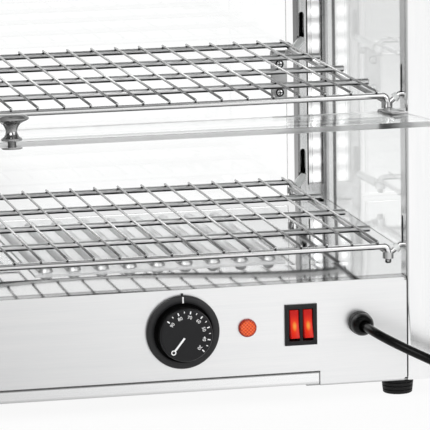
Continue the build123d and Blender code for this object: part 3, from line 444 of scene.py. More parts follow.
# a round bar with softened ends, drawn on from its last ring
class Bar:
    narrow, softShare = 0.72, 0.3         # an end's radius and length, as shares of the radius

    def __init__(self, bm, start, heading, radius, sides, material=0):
        self.bm, self.at, self.heading = bm, Vector(start), Vector(heading).normalized()
        self.soft, self.material = radius * self.softShare * mm, material
        self.before = set(bm.faces)
        turn = self.heading.to_track_quat("Z", "Y").to_matrix().to_4x4()
        ring = bmesh.ops.create_circle(bm, cap_ends=False, segments=sides,
                                       radius=radius * self.narrow * mm,
                                       matrix=Matrix.Translation(self.at) @ turn)["verts"]
        self.edges = list({e for v in ring for e in v.link_edges})
        self.first = list(self.edges)
        self.push(self.soft, 1 / self.narrow)

    def push(self, length, grow=1.0):
        made = bmesh.ops.extrude_edge_only(self.bm, edges=self.edges)["geom"]
        ring = {v for v in made if isinstance(v, bmesh.types.BMVert)}
        bmesh.ops.translate(self.bm, verts=list(ring), vec=self.heading * length)
        self.at = self.at + self.heading * length
        for v in ring:
            v.co = self.at + (v.co - self.at) * grow
        self.edges = [e for e in made if isinstance(e, bmesh.types.BMEdge)
                      and e.verts[0] in ring and e.verts[1] in ring]

    def reach(self, point):
        self.push((Vector(point) - self.at).dot(self.heading))
        return self

    def bend(self, towards, radius, steps=6):
        # a quarter turn towards a direction square to the heading
        towards = Vector(towards).normalized()
        middle = self.at + towards * radius * mm
        geom = list({v for e in self.edges for v in e.verts}) + self.edges
        made = bmesh.ops.spin(self.bm, geom=geom, cent=middle, axis=self.heading.cross(towards),
                              angle=math.pi / 2, steps=steps, use_merge=False)["geom_last"]
        self.edges = [e for e in made if isinstance(e, bmesh.types.BMEdge)]
        self.at = self.at + (self.heading + towards) * radius * mm
        self.heading = towards
        return self

    def close(self, point):
        self.reach(Vector(point) - self.heading * self.soft)
        self.push(self.soft, self.narrow)
        for edges in (self.first, self.edges):
            bmesh.ops.contextual_create(self.bm, geom=edges)
        made = [f for f in self.bm.faces if f not in self.before]
        for face in made:
            face.material_index = self.material
        bmesh.ops.recalc_face_normals(self.bm, faces=made)


makeCamera()
print("camera")

# mains lead: the middle of the round cord, then its coil and its end in the plug; each turn of
# the coil has its own radius and height, and the lead shifts from one to the next
lead = {"radius": 3.5, "length": 1.55,
        "route": [(281.5, 0, 59), (281.5, -29, 59), (297, -51, 51), (325, -66, 38),
                  (352, -72, 23), (378, -73, 10), (404, -72, 3.5), (424, -72, 3.5)],
        "coil": (440, -25), "perTurn": 16, "firstShift": 340, "shiftEvery": 330, "shiftOver": 44,
        "turns": [(47, 3.5), (40, 3.5), (33, 3.5), (33, 10.5), (40, 10.5), (47, 10.5)],
        "end": 1890, "tail": [(487, -13, 10.9), (487, 0, 13)]}
sheathBlack = plasticFinish("sheathBlack", shade(0.002), roughness=0.24, grain=0.06, shine=0.14)


def leadPoints():
    points = list(lead["route"])
    step = 360 / lead["perTurn"]
    swell = 1 / math.cos(math.pi / lead["perTurn"])     # the spline runs inside its points
    for i in range(int(lead["end"] / step) + 1):
        turned = i * step
        radius, height = lead["turns"][0]
        for k, (nextRadius, nextHeight) in enumerate(lead["turns"][1:]):
            middle = lead["firstShift"] + k * lead["shiftEvery"]
            share = min(1, max(0, (turned - middle) / lead["shiftOver"] + 0.5))
            share = share * share * (3 - 2 * share)
            radius += (nextRadius - lead["turns"][k][0]) * share
            height += (nextHeight - lead["turns"][k][1]) * share
        angle = math.radians(turned - 90)
        points.append((lead["coil"][0] + radius * swell * math.cos(angle),
                       lead["coil"][1] + radius * swell * math.sin(angle), height))
    return [place(*p) for p in points + lead["tail"]]


def makeLead():
    curve = bpy.data.curves.new("mainsLead", "CURVE")
    curve.dimensions = "3D"
    curve.resolution_u = 6
    curve.bevel_depth = lead["radius"] * mm
    curve.bevel_resolution = 4
    curve.use_fill_caps = True
    line = curve.splines.new("NURBS")
    points = leadPoints()
    line.points.add(len(points) - 1)
    for target, point in zip(line.points, points):
        target.co = (*point, 1)
    line.order_u = 3
    line.use_endpoint_u = True
    curve.materials.append(sheathBlack)
    piece = link("mainsLead", curve)
    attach(piece, "cabinet")
    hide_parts("mains_lead", "lead_coil")
    return piece


# plug with two round pins, and a ribbed sleeve that the lead comes out of
plug = {"x": 487, "z": 17.5, "bodyFrom": 20, "pinFrom": 50, "pinPitch": 19,
        "body": [(0, 0), (9, 0), (12.4, 0.3), (15.6, 2.2), (17.2, 5), (17.5, 8), (17.5, 20),
                 (17.1, 20.6), (17.1, 22.4), (17.5, 23), (17.5, 28.6), (16.8, 29.7), (15.6, 30),
                 (0, 30)],
        "pin": [(0, 0), (2.35, 0), (2.35, 9.5), (2.4, 9.6), (2.4, 17.6), (2, 18.6), (1.2, 19),
                (0, 19)],
        "sleeveFoot": (487, -8, 11.5), "sleeveStart": [(0, 0), (3.9, 0), (4.6, 0.5)],
        "sleeveInBody": 2, "ribs": 6, "firstRib": 2, "ribPitch": 4, "ribRadius": 4.7,
        "ribGrow": 0.42, "rib": [(0, 0), (0, 2.4), (-0.9, 2.9), (-0.8, 3.6)], "collar": (7.4, 3)}
rubberBlack = plasticFinish("rubberBlack", shade(0.006), roughness=0.46, grain=0.2, shine=0.2)
pinNickel = chromeFinish("pinNickel", level=0.62, roughness=0.12, undersideShade=0.8)


def makePlug():
    d = plug
    bm = bmesh.new()
    addLathe(bm, d["body"], place(d["x"], d["bodyFrom"], d["z"]), (0, 1, 0), 40)
    start = place(*d["sleeveFoot"])
    run = place(d["x"], d["bodyFrom"] + d["sleeveInBody"], d["z"]) - start
    sleeve = list(d["sleeveStart"])
    for i in range(d["ribs"]):
        wide = d["ribRadius"] + i * d["ribGrow"]
        at = d["firstRib"] + i * d["ribPitch"]
        sleeve += [(wide + out, at + up) for out, up in d["rib"]]
    collar, long = d["collar"]
    end = run.length / mm
    sleeve += [(collar, end - long), (collar, end), (0, end)]
    addLathe(bm, sleeve, start, run, 28)
    body = finishPiece("plugBody", bm, "cabinet", [rubberBlack], ["plug"])
    bm = bmesh.new()
    for side in (-1, 1):
        pin = place(d["x"] + side * d["pinPitch"] / 2, d["pinFrom"], d["z"])
        addLathe(bm, d["pin"], pin, (0, 1, 0), 20)
    pins = finishPiece("plugPins", bm, "cabinet", [pinNickel], ["plug_pins"])
    return body, pins


leadPiece = makeLead()
plugBody, plugPins = makePlug()
place(*lead["route"][0])
print("lead and plug")

# cable gland: a collar with ridges round it and a domed cap on the lead
gland = {
    "foot": (281.5, 0, 59), "steps": 64,
    "outline": [(3.55, 5.8), (6, 5.8), (6.1, 5.4), (6.1, 0), (8.6, 0), (9, -0.4), (9, -1.6),
                (8.5, -1.9), (8.5, -2.3), (9, -2.6), (9, -3.6), (8.5, -3.9), (8.5, -4.3),
                (8.9, -4.6), (8.9, -5.6), (8.3, -5.9), (8.3, -6.4), (8.7, -6.8), (8.6, -9.6),
                (8.1, -11.6), (7.2, -13.5), (6.1, -15), (5, -15.9), (4.3, -15.8),
                (3.8, -14.9), (3.55, -13.5), (3.55, 0), (3.55, 5.8)]}
glandBlack = plasticFinish("glandBlack", shade(0.002), roughness=0.26, grain=0.05, shine=0.16)


def makeGland():
    bm = bmesh.new()
    addLathe(bm, gland["outline"], place(*gland["foot"]), (0, 1, 0), gland["steps"])
    finishPiece("cableGland", bm, "cabinet", [glandBlack], ["cable_gland"])


makeGland()
print("gland")

# wire shelves: five rails, the first and the last bent down into legs, two bars below their
# ends, and thin wires welded on top
shelf = {
    "rails": 5, "firstRail": 13.5, "railStep": 76.625, "railRadius": 2.5, "legX": 308,
    "innerEnd": 314, "bend": 4, "leg": 13, "barX": 306, "barRadius": 1.8, "barDrop": 3.9,
    "barFrom": 19.6, "barTo": 313.9, "joint": 2.2, "jointSquash": (1.1, 0.9, 0.5),
    "wires": 31, "pitch": 20, "wireRadius": 1, "wireRise": 3.5, "wireFrom": 12.5,
    "wireTo": 321.6, "weld": (1.15, 0.9, 0.8), "weldAt": (-0.4, -1.3, 2)}


def makeShelf(name, body, railZ):
    d = shelf
    bm = bmesh.new()
    railYs = [d["firstRail"] + i * d["railStep"] for i in range(d["rails"])]
    for y in railYs:
        if y in (railYs[0], railYs[-1]):
            rail = Bar(bm, place(-d["legX"], y, railZ - d["leg"]), (0, 0, 1), d["railRadius"], 16,
                       1 if y == railYs[0] else 0)
            rail.reach(place(0, 0, railZ - d["bend"])).bend((1, 0, 0), d["bend"])
            rail.reach(place(d["legX"] - d["bend"], y, 0)).bend((0, 0, -1), d["bend"])
            rail.close(place(0, 0, railZ - d["leg"]))
        else:
            rail = Bar(bm, place(-d["innerEnd"], y, railZ), (1, 0, 0), d["railRadius"], 16)
            rail.close(place(d["innerEnd"], y, railZ))
    for side in (-1, 1):
        bar = Bar(bm, place(side * d["barX"], d["barFrom"], railZ - d["barDrop"]), (0, 1, 0),
                  d["barRadius"], 12)
        bar.close(place(0, d["barTo"], 0))
        for y in railYs[1:-1]:
            addDrop(bm, place(side * d["barX"], y, railZ - d["railRadius"]), d["joint"],
                    d["jointSquash"])
    finishPiece(name + "Rails", bm, body, [railChrome, endRailChrome],
                [f"{body}_rails"], smooth=50)

    bm = bmesh.new()
    xs = [(i - (d["wires"] - 1) / 2) * d["pitch"] for i in range(d["wires"])]
    for x in xs:
        wire = Bar(bm, place(x, d["wireFrom"], railZ + d["wireRise"]), (0, 1, 0),
                   d["wireRadius"], 10)
        wire.close(place(x, d["wireTo"], 0))
    before = set(bm.faces)
    for y in railYs:
        for x in xs:
            addDrop(bm, place(x, y, railZ) + Vector(d["weldAt"]) * mm, 1, d["weld"])
    for face in bm.faces:
        if face not in before:
            face.material_index = 1
    finishPiece(name + "Wires", bm, body, [wireChrome, weldSteel],
                [f"{body}_wires"], smooth=50)


makeShelf("lowerShelf", "lower_shelf", railZ=114.0)
makeShelf("upperShelf", "upper_shelf", railZ=229.7)
print("shelves")

# flap fittings: clips with hinge pins and disc screws, and a turned knob; heights in a clip are
# counted down from the hinge line, and a flap has its hinge line's height and its pane's reach
fitting = {
    "half": 312, "clipWide": 13, "clipTop": 0.6, "clipLong": 38.5, "clipHalf": 3.5,
    "paneHalf": 2, "paneTop": 3.5, "padHalf": 2.4, "frontHinge": 5.5, "rearHinge": 352.5,
    "open": -94.5, "lower": (217.5, 122), "upper": (333.5, 109),
    "barrel": [(0, 0), (3.1, 0), (3.5, 0.4), (3.5, 12.6), (3.1, 13), (0, 13)],
    "pinRadius": 2, "pinEnd": 321.2, "screws": (8, 32), "cross": (1.8, 0.4),
    "crossFrom": 1.2, "crossTo": 1.61, "screwRim": 2.6,
    "screw": [(0, 0), (3.6, 0), (3.6, 0.45), (3.1, 0.62), (2.7, 0.7), (2.6, 1),
              (2.1, 1.45), (1, 1.6), (0, 1.6)],
    "knobFromEdge": 12,
    "knob": [(0, 19), (7, 19), (9.2, 18.75), (10.9, 18.1), (12.4, 16.8), (13, 16.1),
             (13, 15.3), (12.5, 14.8), (9.6, 13.6), (7.2, 12.4), (5.6, 10.9), (4.6, 9),
             (4.1, 7.4), (4.1, 6.2), (4.5, 4.7), (5.4, 3.2), (6.3, 2.3), (7.2, 1.9),
             (7.5, 1.5), (7.5, 0.2), (7.3, 0), (3, 0), (3, -4), (7.3, -4), (7.5, -4.2),
             (7.5, -5.6), (7.1, -6), (0, -6)]}
# painted shade: near black for the screws' slots and rims
paintedRecessShade = plasticFinish("paintedRecessShade", shade(0.01), roughness=0.5, shine=0.2)


def addScrew(bm, head, out):
    d = fitting
    for face in addLathe(bm, d["screw"], head, (0, out, 0), 24, 1):
        middle = face.calc_center_median() - head
        if math.hypot(middle.x, middle.z) > d["screwRim"] * mm:
            face.material_index = 2           # the rim is in its own shadow
    long, thin = d["cross"]
    # the cross slot is painted shade too
    for reachX, reachZ in ((long, thin), (thin, long)):
        low = head + Vector((-reachX * mm, out * d["crossFrom"] * mm, -reachZ * mm))
        high = head + Vector((reachX * mm, out * d["crossTo"] * mm, reachZ * mm))
        addBlock(bm, low, high, material=2)


def makeFlapFittings(name, body, atFront, hingeZ, drop):
    d = fitting
    out = -1 if atFront else 1
    hingeY = d["frontHinge"] if atFront else d["rearHinge"]
    move = turnAbout(place(0, hingeY, hingeZ), d["open"] if atFront else 0)

    bm = bmesh.new()
    for side in (-1, 1):
        near, far = side * (d["half"] - d["clipWide"]), side * d["half"]
        for face in (-1, 1):
            addBlock(bm, place(near, hingeY + face * d["paneHalf"], hingeZ - d["clipLong"]),
                     place(far, hingeY + face * d["clipHalf"], hingeZ - d["clipTop"]), bevel=0.5)
        addBlock(bm, place(near, hingeY - d["padHalf"], hingeZ - d["paneTop"]),
                 place(far, hingeY + d["padHalf"], hingeZ), bevel=0.2)
        addLathe(bm, d["barrel"], place(near, hingeY, hingeZ), (side, 0, 0), 28)
        reach, radius = d["pinEnd"] - d["half"], d["pinRadius"]
        addLathe(bm, [(0, -0.2), (radius, -0.2), (radius, reach - 0.4), (radius - 0.4, reach),
                      (0, reach)], place(far, hingeY, hingeZ), (side, 0, 0), 20)
        for down in d["screws"]:
            addScrew(bm, place(side * (d["half"] - d["clipWide"] / 2), hingeY - out * d["clipHalf"],
                               hingeZ - down), -out)
    finishPiece(name + "Clips", bm, body, [clipSteel, screwSteel, paintedRecessShade],
                [f"{body}_hinges"], move=move)

    bm = bmesh.new()
    addLathe(bm, d["knob"], place(0, hingeY + out * d["paneHalf"],
                                  hingeZ - drop + d["knobFromEdge"]), (0, out, 0), 40)
    finishPiece(name + "Knob", bm, body, [knobChrome], [f"{body}_knob"],
                move=move)


for end in ("front", "rear"):
    for level in ("lower", "upper"):
        makeFlapFittings(end + level.capitalize(), f"{end}_{level}_flap", end == "front",
                         *fitting[level])
print("flap fittings")

# light bars: white boards with a row of lit spots, under clear ribbed covers
lightBar = {
    "near": 327, "far": 341, "front": 10, "rear": 348, "low": 108, "high": 342,
    "board": 1.2, "margin": 1.4, "spots": 17, "firstSpot": 113, "pitch": 14,
    "spot": [(0, 0.8), (0.9, 0.72), (1.5, 0.45), (1.75, 0.1), (1.75, 0)],
    "glow": 3.2, "halo": 0.95}


# painted light: the board glows, brightest at each spot
def boardFinish():
    finish = Finish("lightBoard", Roughness=0.4, Emission_Strength=lightBar["halo"])
    fromSpot = finish.axis("Z") - lightBar["firstSpot"] * mm
    wave = fromSpot * (2 * math.pi / (lightBar["pitch"] * mm))
    pulse = wave.join("COSINE") * 0.5 + 0.5
    grain = finish.noise(500, 2)
    finish.set("Base Color", finish.blend(grain, shade(0.78), shade(0.86)))
    finish.set("Emission Color", finish.ramp(pulse, (0.0, 0.42), (0.4, 0.8), (0.8, 1.0)))
    return finish.material


def spotFinish():
    finish = Finish("lightSpot", Roughness=0.4, Emission_Strength=lightBar["glow"])
    grain = finish.noise(300, 2)
    finish.set("Base Color", finish.blend(grain, shade(0.8), shade(0.9)))
    finish.set("Emission Color", finish.blend(grain, (0.94, 0.98, 1.0, 1), shade(1.0)))
    return finish.material


# the cover's side walls and moulded lines are greyer than the rest of it
def coverFinish():
    finish = Finish("lightCover", Transmission_Weight=1.0, IOR=1.45)
    across = abs(finish.axis("X")) * (1 / mm)
    inBar = (across - lightBar["near"]) * (1 / (lightBar["far"] - lightBar["near"]))
    finish.set("Base Color", finish.ramp(inBar, (0.0, 0.2), (0.09, 0.3), (0.11, 0.9), (0.17, 0.96),
                                         (0.2, 0.5), (0.23, 0.96), (0.33, 0.55), (0.36, 0.97),
                                         (0.86, 0.97), (0.9, 0.62), (1.0, 0.5)))
    finish.set("Roughness", finish.ramp(finish.noise(60, 2), (0.3, 0.2), (0.8, 0.28)))
    letLampsThrough(finish, shade(0.95))
    return finish.material


def makeLightBars():
    d = lightBar
    bm = bmesh.new()
    for side in (-1, 1):
        for back, out in ((d["front"], 1), (d["rear"], -1)):
            top = back + out * d["board"]
            addBlock(bm, place(side * (d["near"] + d["margin"]), back, d["low"]),
                     place(side * (d["far"] - d["margin"]), top, d["high"]), bevel=0.15,
                     segments=1)
            for i in range(d["spots"]):
                middle = place(side * (d["near"] + d["far"]) / 2, top,
                               d["firstSpot"] + i * d["pitch"])
                addLathe(bm, d["spot"], middle, (0, out, 0), 12, 1)
    finishPiece("lightStrips", bm, "cabinet", [boardFinish(), spotFinish()],
                ["led_strips"])
    dress(coverFinish(), "led_covers")


makeLightBars()
print("light bars")

# thermostat dial in its ring; figures have their turn from the top in degrees, the ring's mark
# is (radius, width, length), the pointer (width, start, end), its ring (radius, outer, inner)
dial = {
    "centre": (144, 0, 60), "face": -15.2, "ringFace": -4, "ink": 0.05, "steps": 72,
    "ring": [(5, 0), (27.6, 0), (28, -0.4), (28, -2.9), (27.6, -3.6), (26.9, -4),
             (23.2, -4), (22.6, -3.7), (22.4, -3.1), (22.4, -1.5), (5, -1.5), (5, 0)],
    "shaded": 22.7, "tab": ((-0.9, -1.2, 27), (0.9, 0, 29.4)), "ringMark": (24.9, 1.1, 4.8),
    "knob": [(0, -1.8), (19.8, -1.8), (20.5, -2.3), (20.5, -12.6), (20.3, -13.9),
             (19.8, -14.8), (19, -15.2), (18.4, -15.2), (0, -15.2)],
    "figures": [(90, -51.5), (80, -20.5), (70, 10.5), (60, 41.5), (50, 72.5), (40, 103.5),
                (30, 134.5)],
    "figureRadius": 13.9, "figureHeight": 2.5, "capShare": 0.7, "bold": 0.01,
    "tickRadius": 17.5, "tick": (0.9, 2.2), "smallTick": (0.6, 1.4), "smallTickOut": 0.3,
    "pointerTurn": -141.3, "pointer": (1.5, 2.5, 14.4), "pointerRing": (16.2, 1.95, 1.15)}
dialBlack = plasticFinish("dialBlack", (0.007, 0.007, 0.008, 1), roughness=0.36, shine=0.25)
ringBlack = plasticFinish("ringBlack", (0.013, 0.013, 0.014, 1), roughness=0.42, grain=0.12,
                          shine=0.36)
shadeBlack = plasticFinish("shadeBlack", shade(0.001), roughness=0.55, shine=0.06)


def onFace(turn, radius, face):
    # from a flat mark, drawn in X and Y, to its place on a face that looks forwards
    return (Matrix.Translation(place(dial["centre"][0], face, dial["centre"][2]))
            @ Matrix.Rotation(math.radians(turn), 4, "Y")
            @ Matrix.Translation(Vector((0, 0, radius * mm)))
            @ Matrix.Rotation(math.pi / 2, 4, "X"))


def printOn(bm, marks, turn, radius, face):
    bmesh.ops.transform(bm, matrix=onFace(turn, radius, face - dial["ink"]), verts=marks)
    for painted in {f for v in marks for f in v.link_faces}:
        painted.material_index = 1


def addMark(bm, turn, radius, wide, long, face):
    before = set(bm.verts)
    half = Matrix.Diagonal((wide / 2 * mm, long / 2 * mm, 1, 1))
    bmesh.ops.create_grid(bm, x_segments=1, y_segments=1, size=1, matrix=half)
    printOn(bm, [v for v in bm.verts if v not in before], turn, radius, face)


def addFigure(bm, text, turn):
    letters = bpy.data.curves.new("figure", "FONT")
    letters.body = text
    letters.size = dial["figureHeight"] * mm / dial["capShare"]
    letters.align_x = "CENTER"
    letters.offset = dial["bold"] * mm
    holder = bpy.data.objects.new("figure", letters)
    mesh = bpy.data.meshes.new_from_object(holder)
    heights = [v.co.y for v in mesh.vertices]
    before = set(bm.verts)
    bm.from_mesh(mesh)
    made = [v for v in bm.verts if v not in before]
    bmesh.ops.translate(bm, verts=made, vec=(0, -(max(heights) + min(heights)) / 2, 0))
    printOn(bm, made, turn, dial["figureRadius"], dial["face"])
    bpy.data.objects.remove(holder)
    bpy.data.meshes.remove(mesh)


def makeDial():
    d = dial
    centre = place(*d["centre"])
    bm = bmesh.new()
    for face in addLathe(bm, d["ring"], centre, (0, 1, 0), d["steps"]):
        middle = face.calc_center_median() - centre
        if math.hypot(middle.x, middle.z) < d["shaded"] * mm:
            face.material_index = 2
    low, high = (centre + Vector(corner) * mm for corner in d["tab"])
    addBlock(bm, low, high, bevel=0.3)
    addMark(bm, 0, *d["ringMark"], d["ringFace"])
    finishPiece("dialRing", bm, "cabinet", [ringBlack, markWhite, shadeBlack],
                ["dial_bezel"])

    bm = bmesh.new()
    for face in addLathe(bm, d["knob"], centre, (0, 1, 0), d["steps"]):
        if abs(face.normal.y) < 0.3:
            face.material_index = 2           # its side is in shadow
    turns = [turn for _, turn in d["figures"]]
    halfway = (turns[-1] - turns[0]) / (2 * (len(turns) - 1))
    for figure, turn in d["figures"]:
        addFigure(bm, str(figure), turn)
        addMark(bm, turn, d["tickRadius"], *d["tick"], d["face"])
        if turn != turns[-1]:
            addMark(bm, turn + halfway, d["tickRadius"] + d["smallTickOut"], *d["smallTick"],
                    d["face"])
    wide, start, end = d["pointer"]
    addMark(bm, d["pointerTurn"], (start + end) / 2, wide, end - start, d["face"])
    out, outer, inner = d["pointerRing"]
    middle = onFace(d["pointerTurn"], out, d["face"] - d["ink"]).translation
    for face in addLathe(bm, [(inner, -0.02), (outer, -0.02)], middle, (0, 1, 0), 28, 1):
        if face.normal.y > 0:
            face.normal_flip()
    finishPiece("dialKnob", bm, "dial", [dialBlack, markWhite, shadeBlack],
                ["thermostat_dial"])


makeDial()
print("dial")

# lamp with a faceted lens
lamp = {"centre": (194, 0, 60), "facet": 1.9, "rim": 7, "glow": 0.3,
        "dark": (0.44, 0.022, 0.004, 1), "bright": (0.8, 0.13, 0.02, 1),
        "edge": (0.2, 0.006, 0.002, 1),
        "outline": [(0, 0), (6.8, 0), (7, -0.3), (7, -1.3), (6.7, -2), (5.9, -2.6),
                    (4.4, -3.1), (2.4, -3.35), (0, -3.4)]}


def lensFinish():
    finish = Finish("orangeLens", Emission_Strength=lamp["glow"], Specular_IOR_Level=0.45)
    x, _, z = finish.axes()
    across = x - lamp["centre"][0] * mm
    upward = z - lamp["centre"][2] * mm
    slant = 2 * math.pi / (lamp["facet"] * mm) * 0.7071       # the facets' rows run at 45 degrees
    first, second = (across + upward) * slant, (across - upward) * slant
    facets = first.join("SINE") + second.join("SINE")
    fromMiddle = finish.length(across, upward) * (1 / (lamp["rim"] * mm))
    body = finish.blend(facets * 0.25 + 0.5, lamp["dark"], lamp["bright"])
    colour = finish.blend(finish.ramp(fromMiddle, (0.7, 0), (0.95, 1)), body, lamp["edge"])
    finish.set("Base Color", colour)
    finish.set("Emission Color", colour)
    finish.set("Roughness", finish.noise(200, 2) * 0.06 + 0.16)
    finish.bump(facets, 0.5, 0.0003)
    return finish.material


def makeLamp():
    bm = bmesh.new()
    addLathe(bm, lamp["outline"], place(*lamp["centre"]), (0, 1, 0), 48)
    finishPiece("lampLens", bm, "cabinet", [lensFinish()], ["indicator_lens"],
                smooth=60)


makeLamp()
print("lamp")

# double rocker switch; a rocker's outline is (depth, height) from its pivot
switch = {
    "x": 235.5, "z": 60, "width": 25, "height": 31.5, "rim": 2, "rimBevel": 0.55,
    "windowHalf": (3.9, 12.1), "spacing": 10.6, "holeHalf": (11, 14.25),
    "windowDepth": 8, "bodyDepth": 20, "rockerWidth": 7, "pivot": 2, "tilt": -12,
    "rockerBevel": 0.55, "glow": 0.62,
    "rocker": [(-5.5, 10.8), (-5, 7.6), (-4.5, 4.2), (-4.25, 1.6), (-4.2, 0),
               (-4.25, -1.6), (-4.5, -4.2), (-5, -7.6), (-5.5, -10.8), (-1, -10.8),
               (4, -4.9), (4, 4.9), (-1, 10.8)]}


# red, with a lit spot in the middle; the top end and the sides are darker, as painted shade on the
# glow
def rockerFinish():
    finish = Finish("redRocker", Emission_Strength=switch["glow"], Specular_IOR_Level=0.22)
    x, _, z = finish.axes()
    across = abs(abs(x * (1 / mm) - switch["x"]) - switch["spacing"] / 2)
    upward = z * (1 / mm) - switch["z"]
    spot = finish.length(across * 1.5, (upward + 0.6) * 0.72)
    lit = finish.ramp(spot * 0.125, (0.0, (1.0, 0.62, 0.12, 1)), (0.16, (1.0, 0.42, 0.05, 1)),
                      (0.36, (0.86, 0.06, 0.012, 1)), (0.8, (0.62, 0.015, 0.006, 1)))
    # painted shade on the sides of the glow
    side = finish.ramp(across * (2 / switch["rockerWidth"]), (0.72, 0), (0.96, 1))
    lit = finish.blend(side, lit, (0.2, 0.004, 0.003, 1))
    # painted shade on the top end of the glow
    top = finish.ramp(upward * 0.1, (0.35, 0), (1.0, 0.6))
    lit = finish.blend(top, lit, (0.24, 0.005, 0.004, 1))
    cloud = finish.noise(120, 2)
    finish.set("Base Color", finish.blend(cloud, (0.24, 0.002, 0.002, 1), (0.29, 0.003, 0.002, 1)))
    finish.set("Emission Color", lit)
    finish.set("Roughness", cloud * 0.08 + 0.14)
    return finish.material


# gives flat faces a thickness
def thicken(bm, faces, by):
    grown = bmesh.ops.extrude_face_region(bm, geom=faces, use_keep_orig=True)["geom"]
    moved = [v for v in grown if isinstance(v, bmesh.types.BMVert)]
    bmesh.ops.translate(bm, verts=moved, vec=by)


# a plate in the XZ plane with two windows, given a thickness backwards
def addWindowPlate(bm, halfWide, halfHigh, y, depth, bevel=0.0):
    d = switch
    wide, high = d["windowHalf"]
    inner, outer = d["spacing"] / 2 - wide, d["spacing"] / 2 + wide
    xs = (-halfWide, -outer, -inner, inner, outer, halfWide)
    zs = (-halfHigh, -high, high, halfHigh)
    before = set(bm.faces)
    made = bmesh.ops.create_grid(bm, x_segments=5, y_segments=3, size=1)["verts"]
    for v in made:
        i, j = round((v.co.x + 1) / 2 * 5), round((v.co.y + 1) / 2 * 3)
        v.co = place(d["x"] + xs[i], y, d["z"] + zs[j])
    windows = [f for f in bm.faces if f not in before
               and abs(f.calc_center_median().z / mm - d["z"]) < 1
               and abs(abs(f.calc_center_median().x / mm - d["x"]) - d["spacing"] / 2) < 1]
    bmesh.ops.delete(bm, geom=windows, context="FACES")
    thicken(bm, [f for f in bm.faces if f not in before], (0, depth * mm, 0))
    plate = [f for f in bm.faces if f not in before]
    bmesh.ops.recalc_face_normals(bm, faces=plate)
    if bevel:
        front = place(0, y, 0).y
        rim = [e for e in {e for f in plate for e in f.edges}
               if all(abs(v.co.y - front) < 1e-6 for v in e.verts)
               and any(abs(f.normal.y) < 0.5 for f in e.link_faces)]
        soften(bm, rim, bevel, 2)


def makeSwitch():
    d = switch
    wide, high = d["holeHalf"]
    bm = bmesh.new()
    addWindowPlate(bm, d["width"] / 2, d["height"] / 2, -d["rim"], d["rim"], d["rimBevel"])
    addWindowPlate(bm, wide, high, 0, d["windowDepth"])
    addBlock(bm, place(d["x"] - wide, d["windowDepth"], d["z"] - high),
             place(d["x"] + wide, d["bodyDepth"], d["z"] + high))
    finishPiece("switchFrame", bm, "cabinet", [blackPlastic], ["switch_frame"])

    material = rockerFinish()
    for side, name, body, node in ((-1, "rockerLeft", "left_rocker", "rocker_left"),
                                   (1, "rockerRight", "right_rocker", "rocker_right")):
        bm = bmesh.new()
        x = d["x"] + side * d["spacing"] / 2 - d["rockerWidth"] / 2
        points = [bm.verts.new(place(x, d["pivot"] + y, d["z"] + z)) for y, z in d["rocker"]]
        flat = bmesh.ops.contextual_create(bm, geom=points)["faces"]
        thicken(bm, flat, (d["rockerWidth"] * mm, 0, 0))
        bmesh.ops.recalc_face_normals(bm, faces=bm.faces)
        sharp = [e for e in bm.edges if e.calc_face_angle(0) > math.radians(30)]
        soften(bm, sharp, d["rockerBevel"], 3)
        finishPiece(name, bm, body, [material], [node],
                    move=turnAbout(place(x, d["pivot"], d["z"]), d["tilt"]))


makeSwitch()
print("switch")

# rubber feet
feet = {"x": 315, "ys": (15, 343),
        "outline": [(0, 1.6), (5, 1.6), (5.2, 0), (10.5, 0), (11.2, 0.5), (11.5, 2.6),
                    (11, 3), (11.6, 3.4), (11.8, 5.6), (11.3, 6), (11.9, 6.4),
                    (12.1, 8.6), (11.6, 9), (12.2, 9.4), (12.5, 12), (0, 12)]}


def makeFeet():
    bm = bmesh.new()
    for side in (-1, 1):
        for y in feet["ys"]:
            addLathe(bm, feet["outline"], place(side * feet["x"], y, 0), (0, 0, 1), 40)
    finishPiece("rubberFeet", bm, "cabinet", [rubberBlack], ["feet"])


makeFeet()
print("feet")

# light, floor and surroundings; a light has a stand and an aim in millimetres, a size in metres
# and a power, and the room's upper part and walls are ramps that polished pieces reflect
studio = {
    "floor": 0.86, "floorSize": 14, "floorDrop": 0.2, "seenGlow": 0.93, "mirrorGlow": 0.8,
    "skylight": 0.52,
    "upper": [(0, 1), (0.22, 1), (0.36, 0.5), (0.55, 0.16), (0.8, 0.3), (1, 0.55)],
    "walls": [(0, 0.55), (0.06, 0.3), (0.14, 0.45), (0.2, 1), (0.8, 1),
              (0.86, 0.45), (0.94, 0.3), (1, 0.55)],
    "lights": [("keyLight", (-900, -1900, 1700), (0, 100, 150), 1.4, 26),
               ("fillLight", (1500, -1500, 1100), (0, 100, 150), 1.6, 14),
               ("backLight", (300, 2000, 1500), (0, 200, 200), 1.6, 14)]}


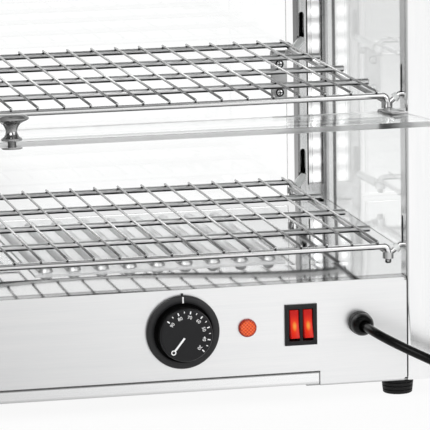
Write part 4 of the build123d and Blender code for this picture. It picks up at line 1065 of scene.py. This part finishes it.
def makeFloor():
    bm = bmesh.new()
    bmesh.ops.create_grid(bm, x_segments=2, y_segments=2, size=studio["floorSize"],
                          matrix=Matrix.Translation((0, 0, -studio["floorDrop"] * mm)))
    mesh = bpy.data.meshes.new("floor")
    bm.to_mesh(mesh)
    bm.free()
    floor = link("floor", mesh)
    pale = Finish("paleFloor", Roughness=0.8, Specular_IOR_Level=0.0)
    pale.set("Base Color", shade(studio["floor"]))
    seen, mirrored, through = pale.outputs("LightPath", ("Is Camera Ray", "Is Glossy Ray",
                                                         "Is Transmission Ray"))
    greyer = pale.ramp(pale.axis("X") * 0.5 + 0.5, (0.44, 0.42), (0.62, 1.04))   # to the left
    glow = pale.node("Emission", {}, {"Color": pale.blend(mirrored, shade(1.0), greyer),
                                      "Strength": 1.0})
    share = (seen + through) * studio["seenGlow"] + mirrored * studio["mirrorGlow"]
    pale.show(pale.node("MixShader", {}, {0: share, 1: pale.surface, 2: glow}))
    mesh.materials.append(pale.material)


def makeSky():
    world = bpy.data.worlds.new("studio")
    scene.world = world
    world.use_nodes = True
    sky = Shading(world.node_tree)
    end = world.node_tree.nodes.new("ShaderNodeOutputWorld")
    across, _, height = sky.axes("Generated")
    room = sky.blend(1.0, sky.ramp(height, *studio["upper"]),
                     sky.ramp(across * 0.5 + 0.5, *studio["walls"]), "MULTIPLY")
    glossy, diffuse = sky.outputs("LightPath", ("Is Glossy Ray", "Is Diffuse Ray"))
    back = sky.node("Background", {}, {"Color": sky.blend(glossy, shade(1.0), room),
                                       "Strength": 1.0 - diffuse * (1 - studio["skylight"])})
    sky.plug(end.inputs["Surface"], back)


def makeLights():
    for name, stand, aim, size, power in studio["lights"]:
        data = bpy.data.lights.new(name, "AREA")
        data.size = size
        data.energy = power
        light = link(name, data)
        light.location = place(*stand)
        light.rotation_mode = "QUATERNION"
        light.rotation_quaternion = (place(*aim) - place(*stand)).to_track_quat("-Z", "Y")


makeFloor()
makeSky()
makeLights()
scene.view_settings.view_transform = "Standard"
print("studio")
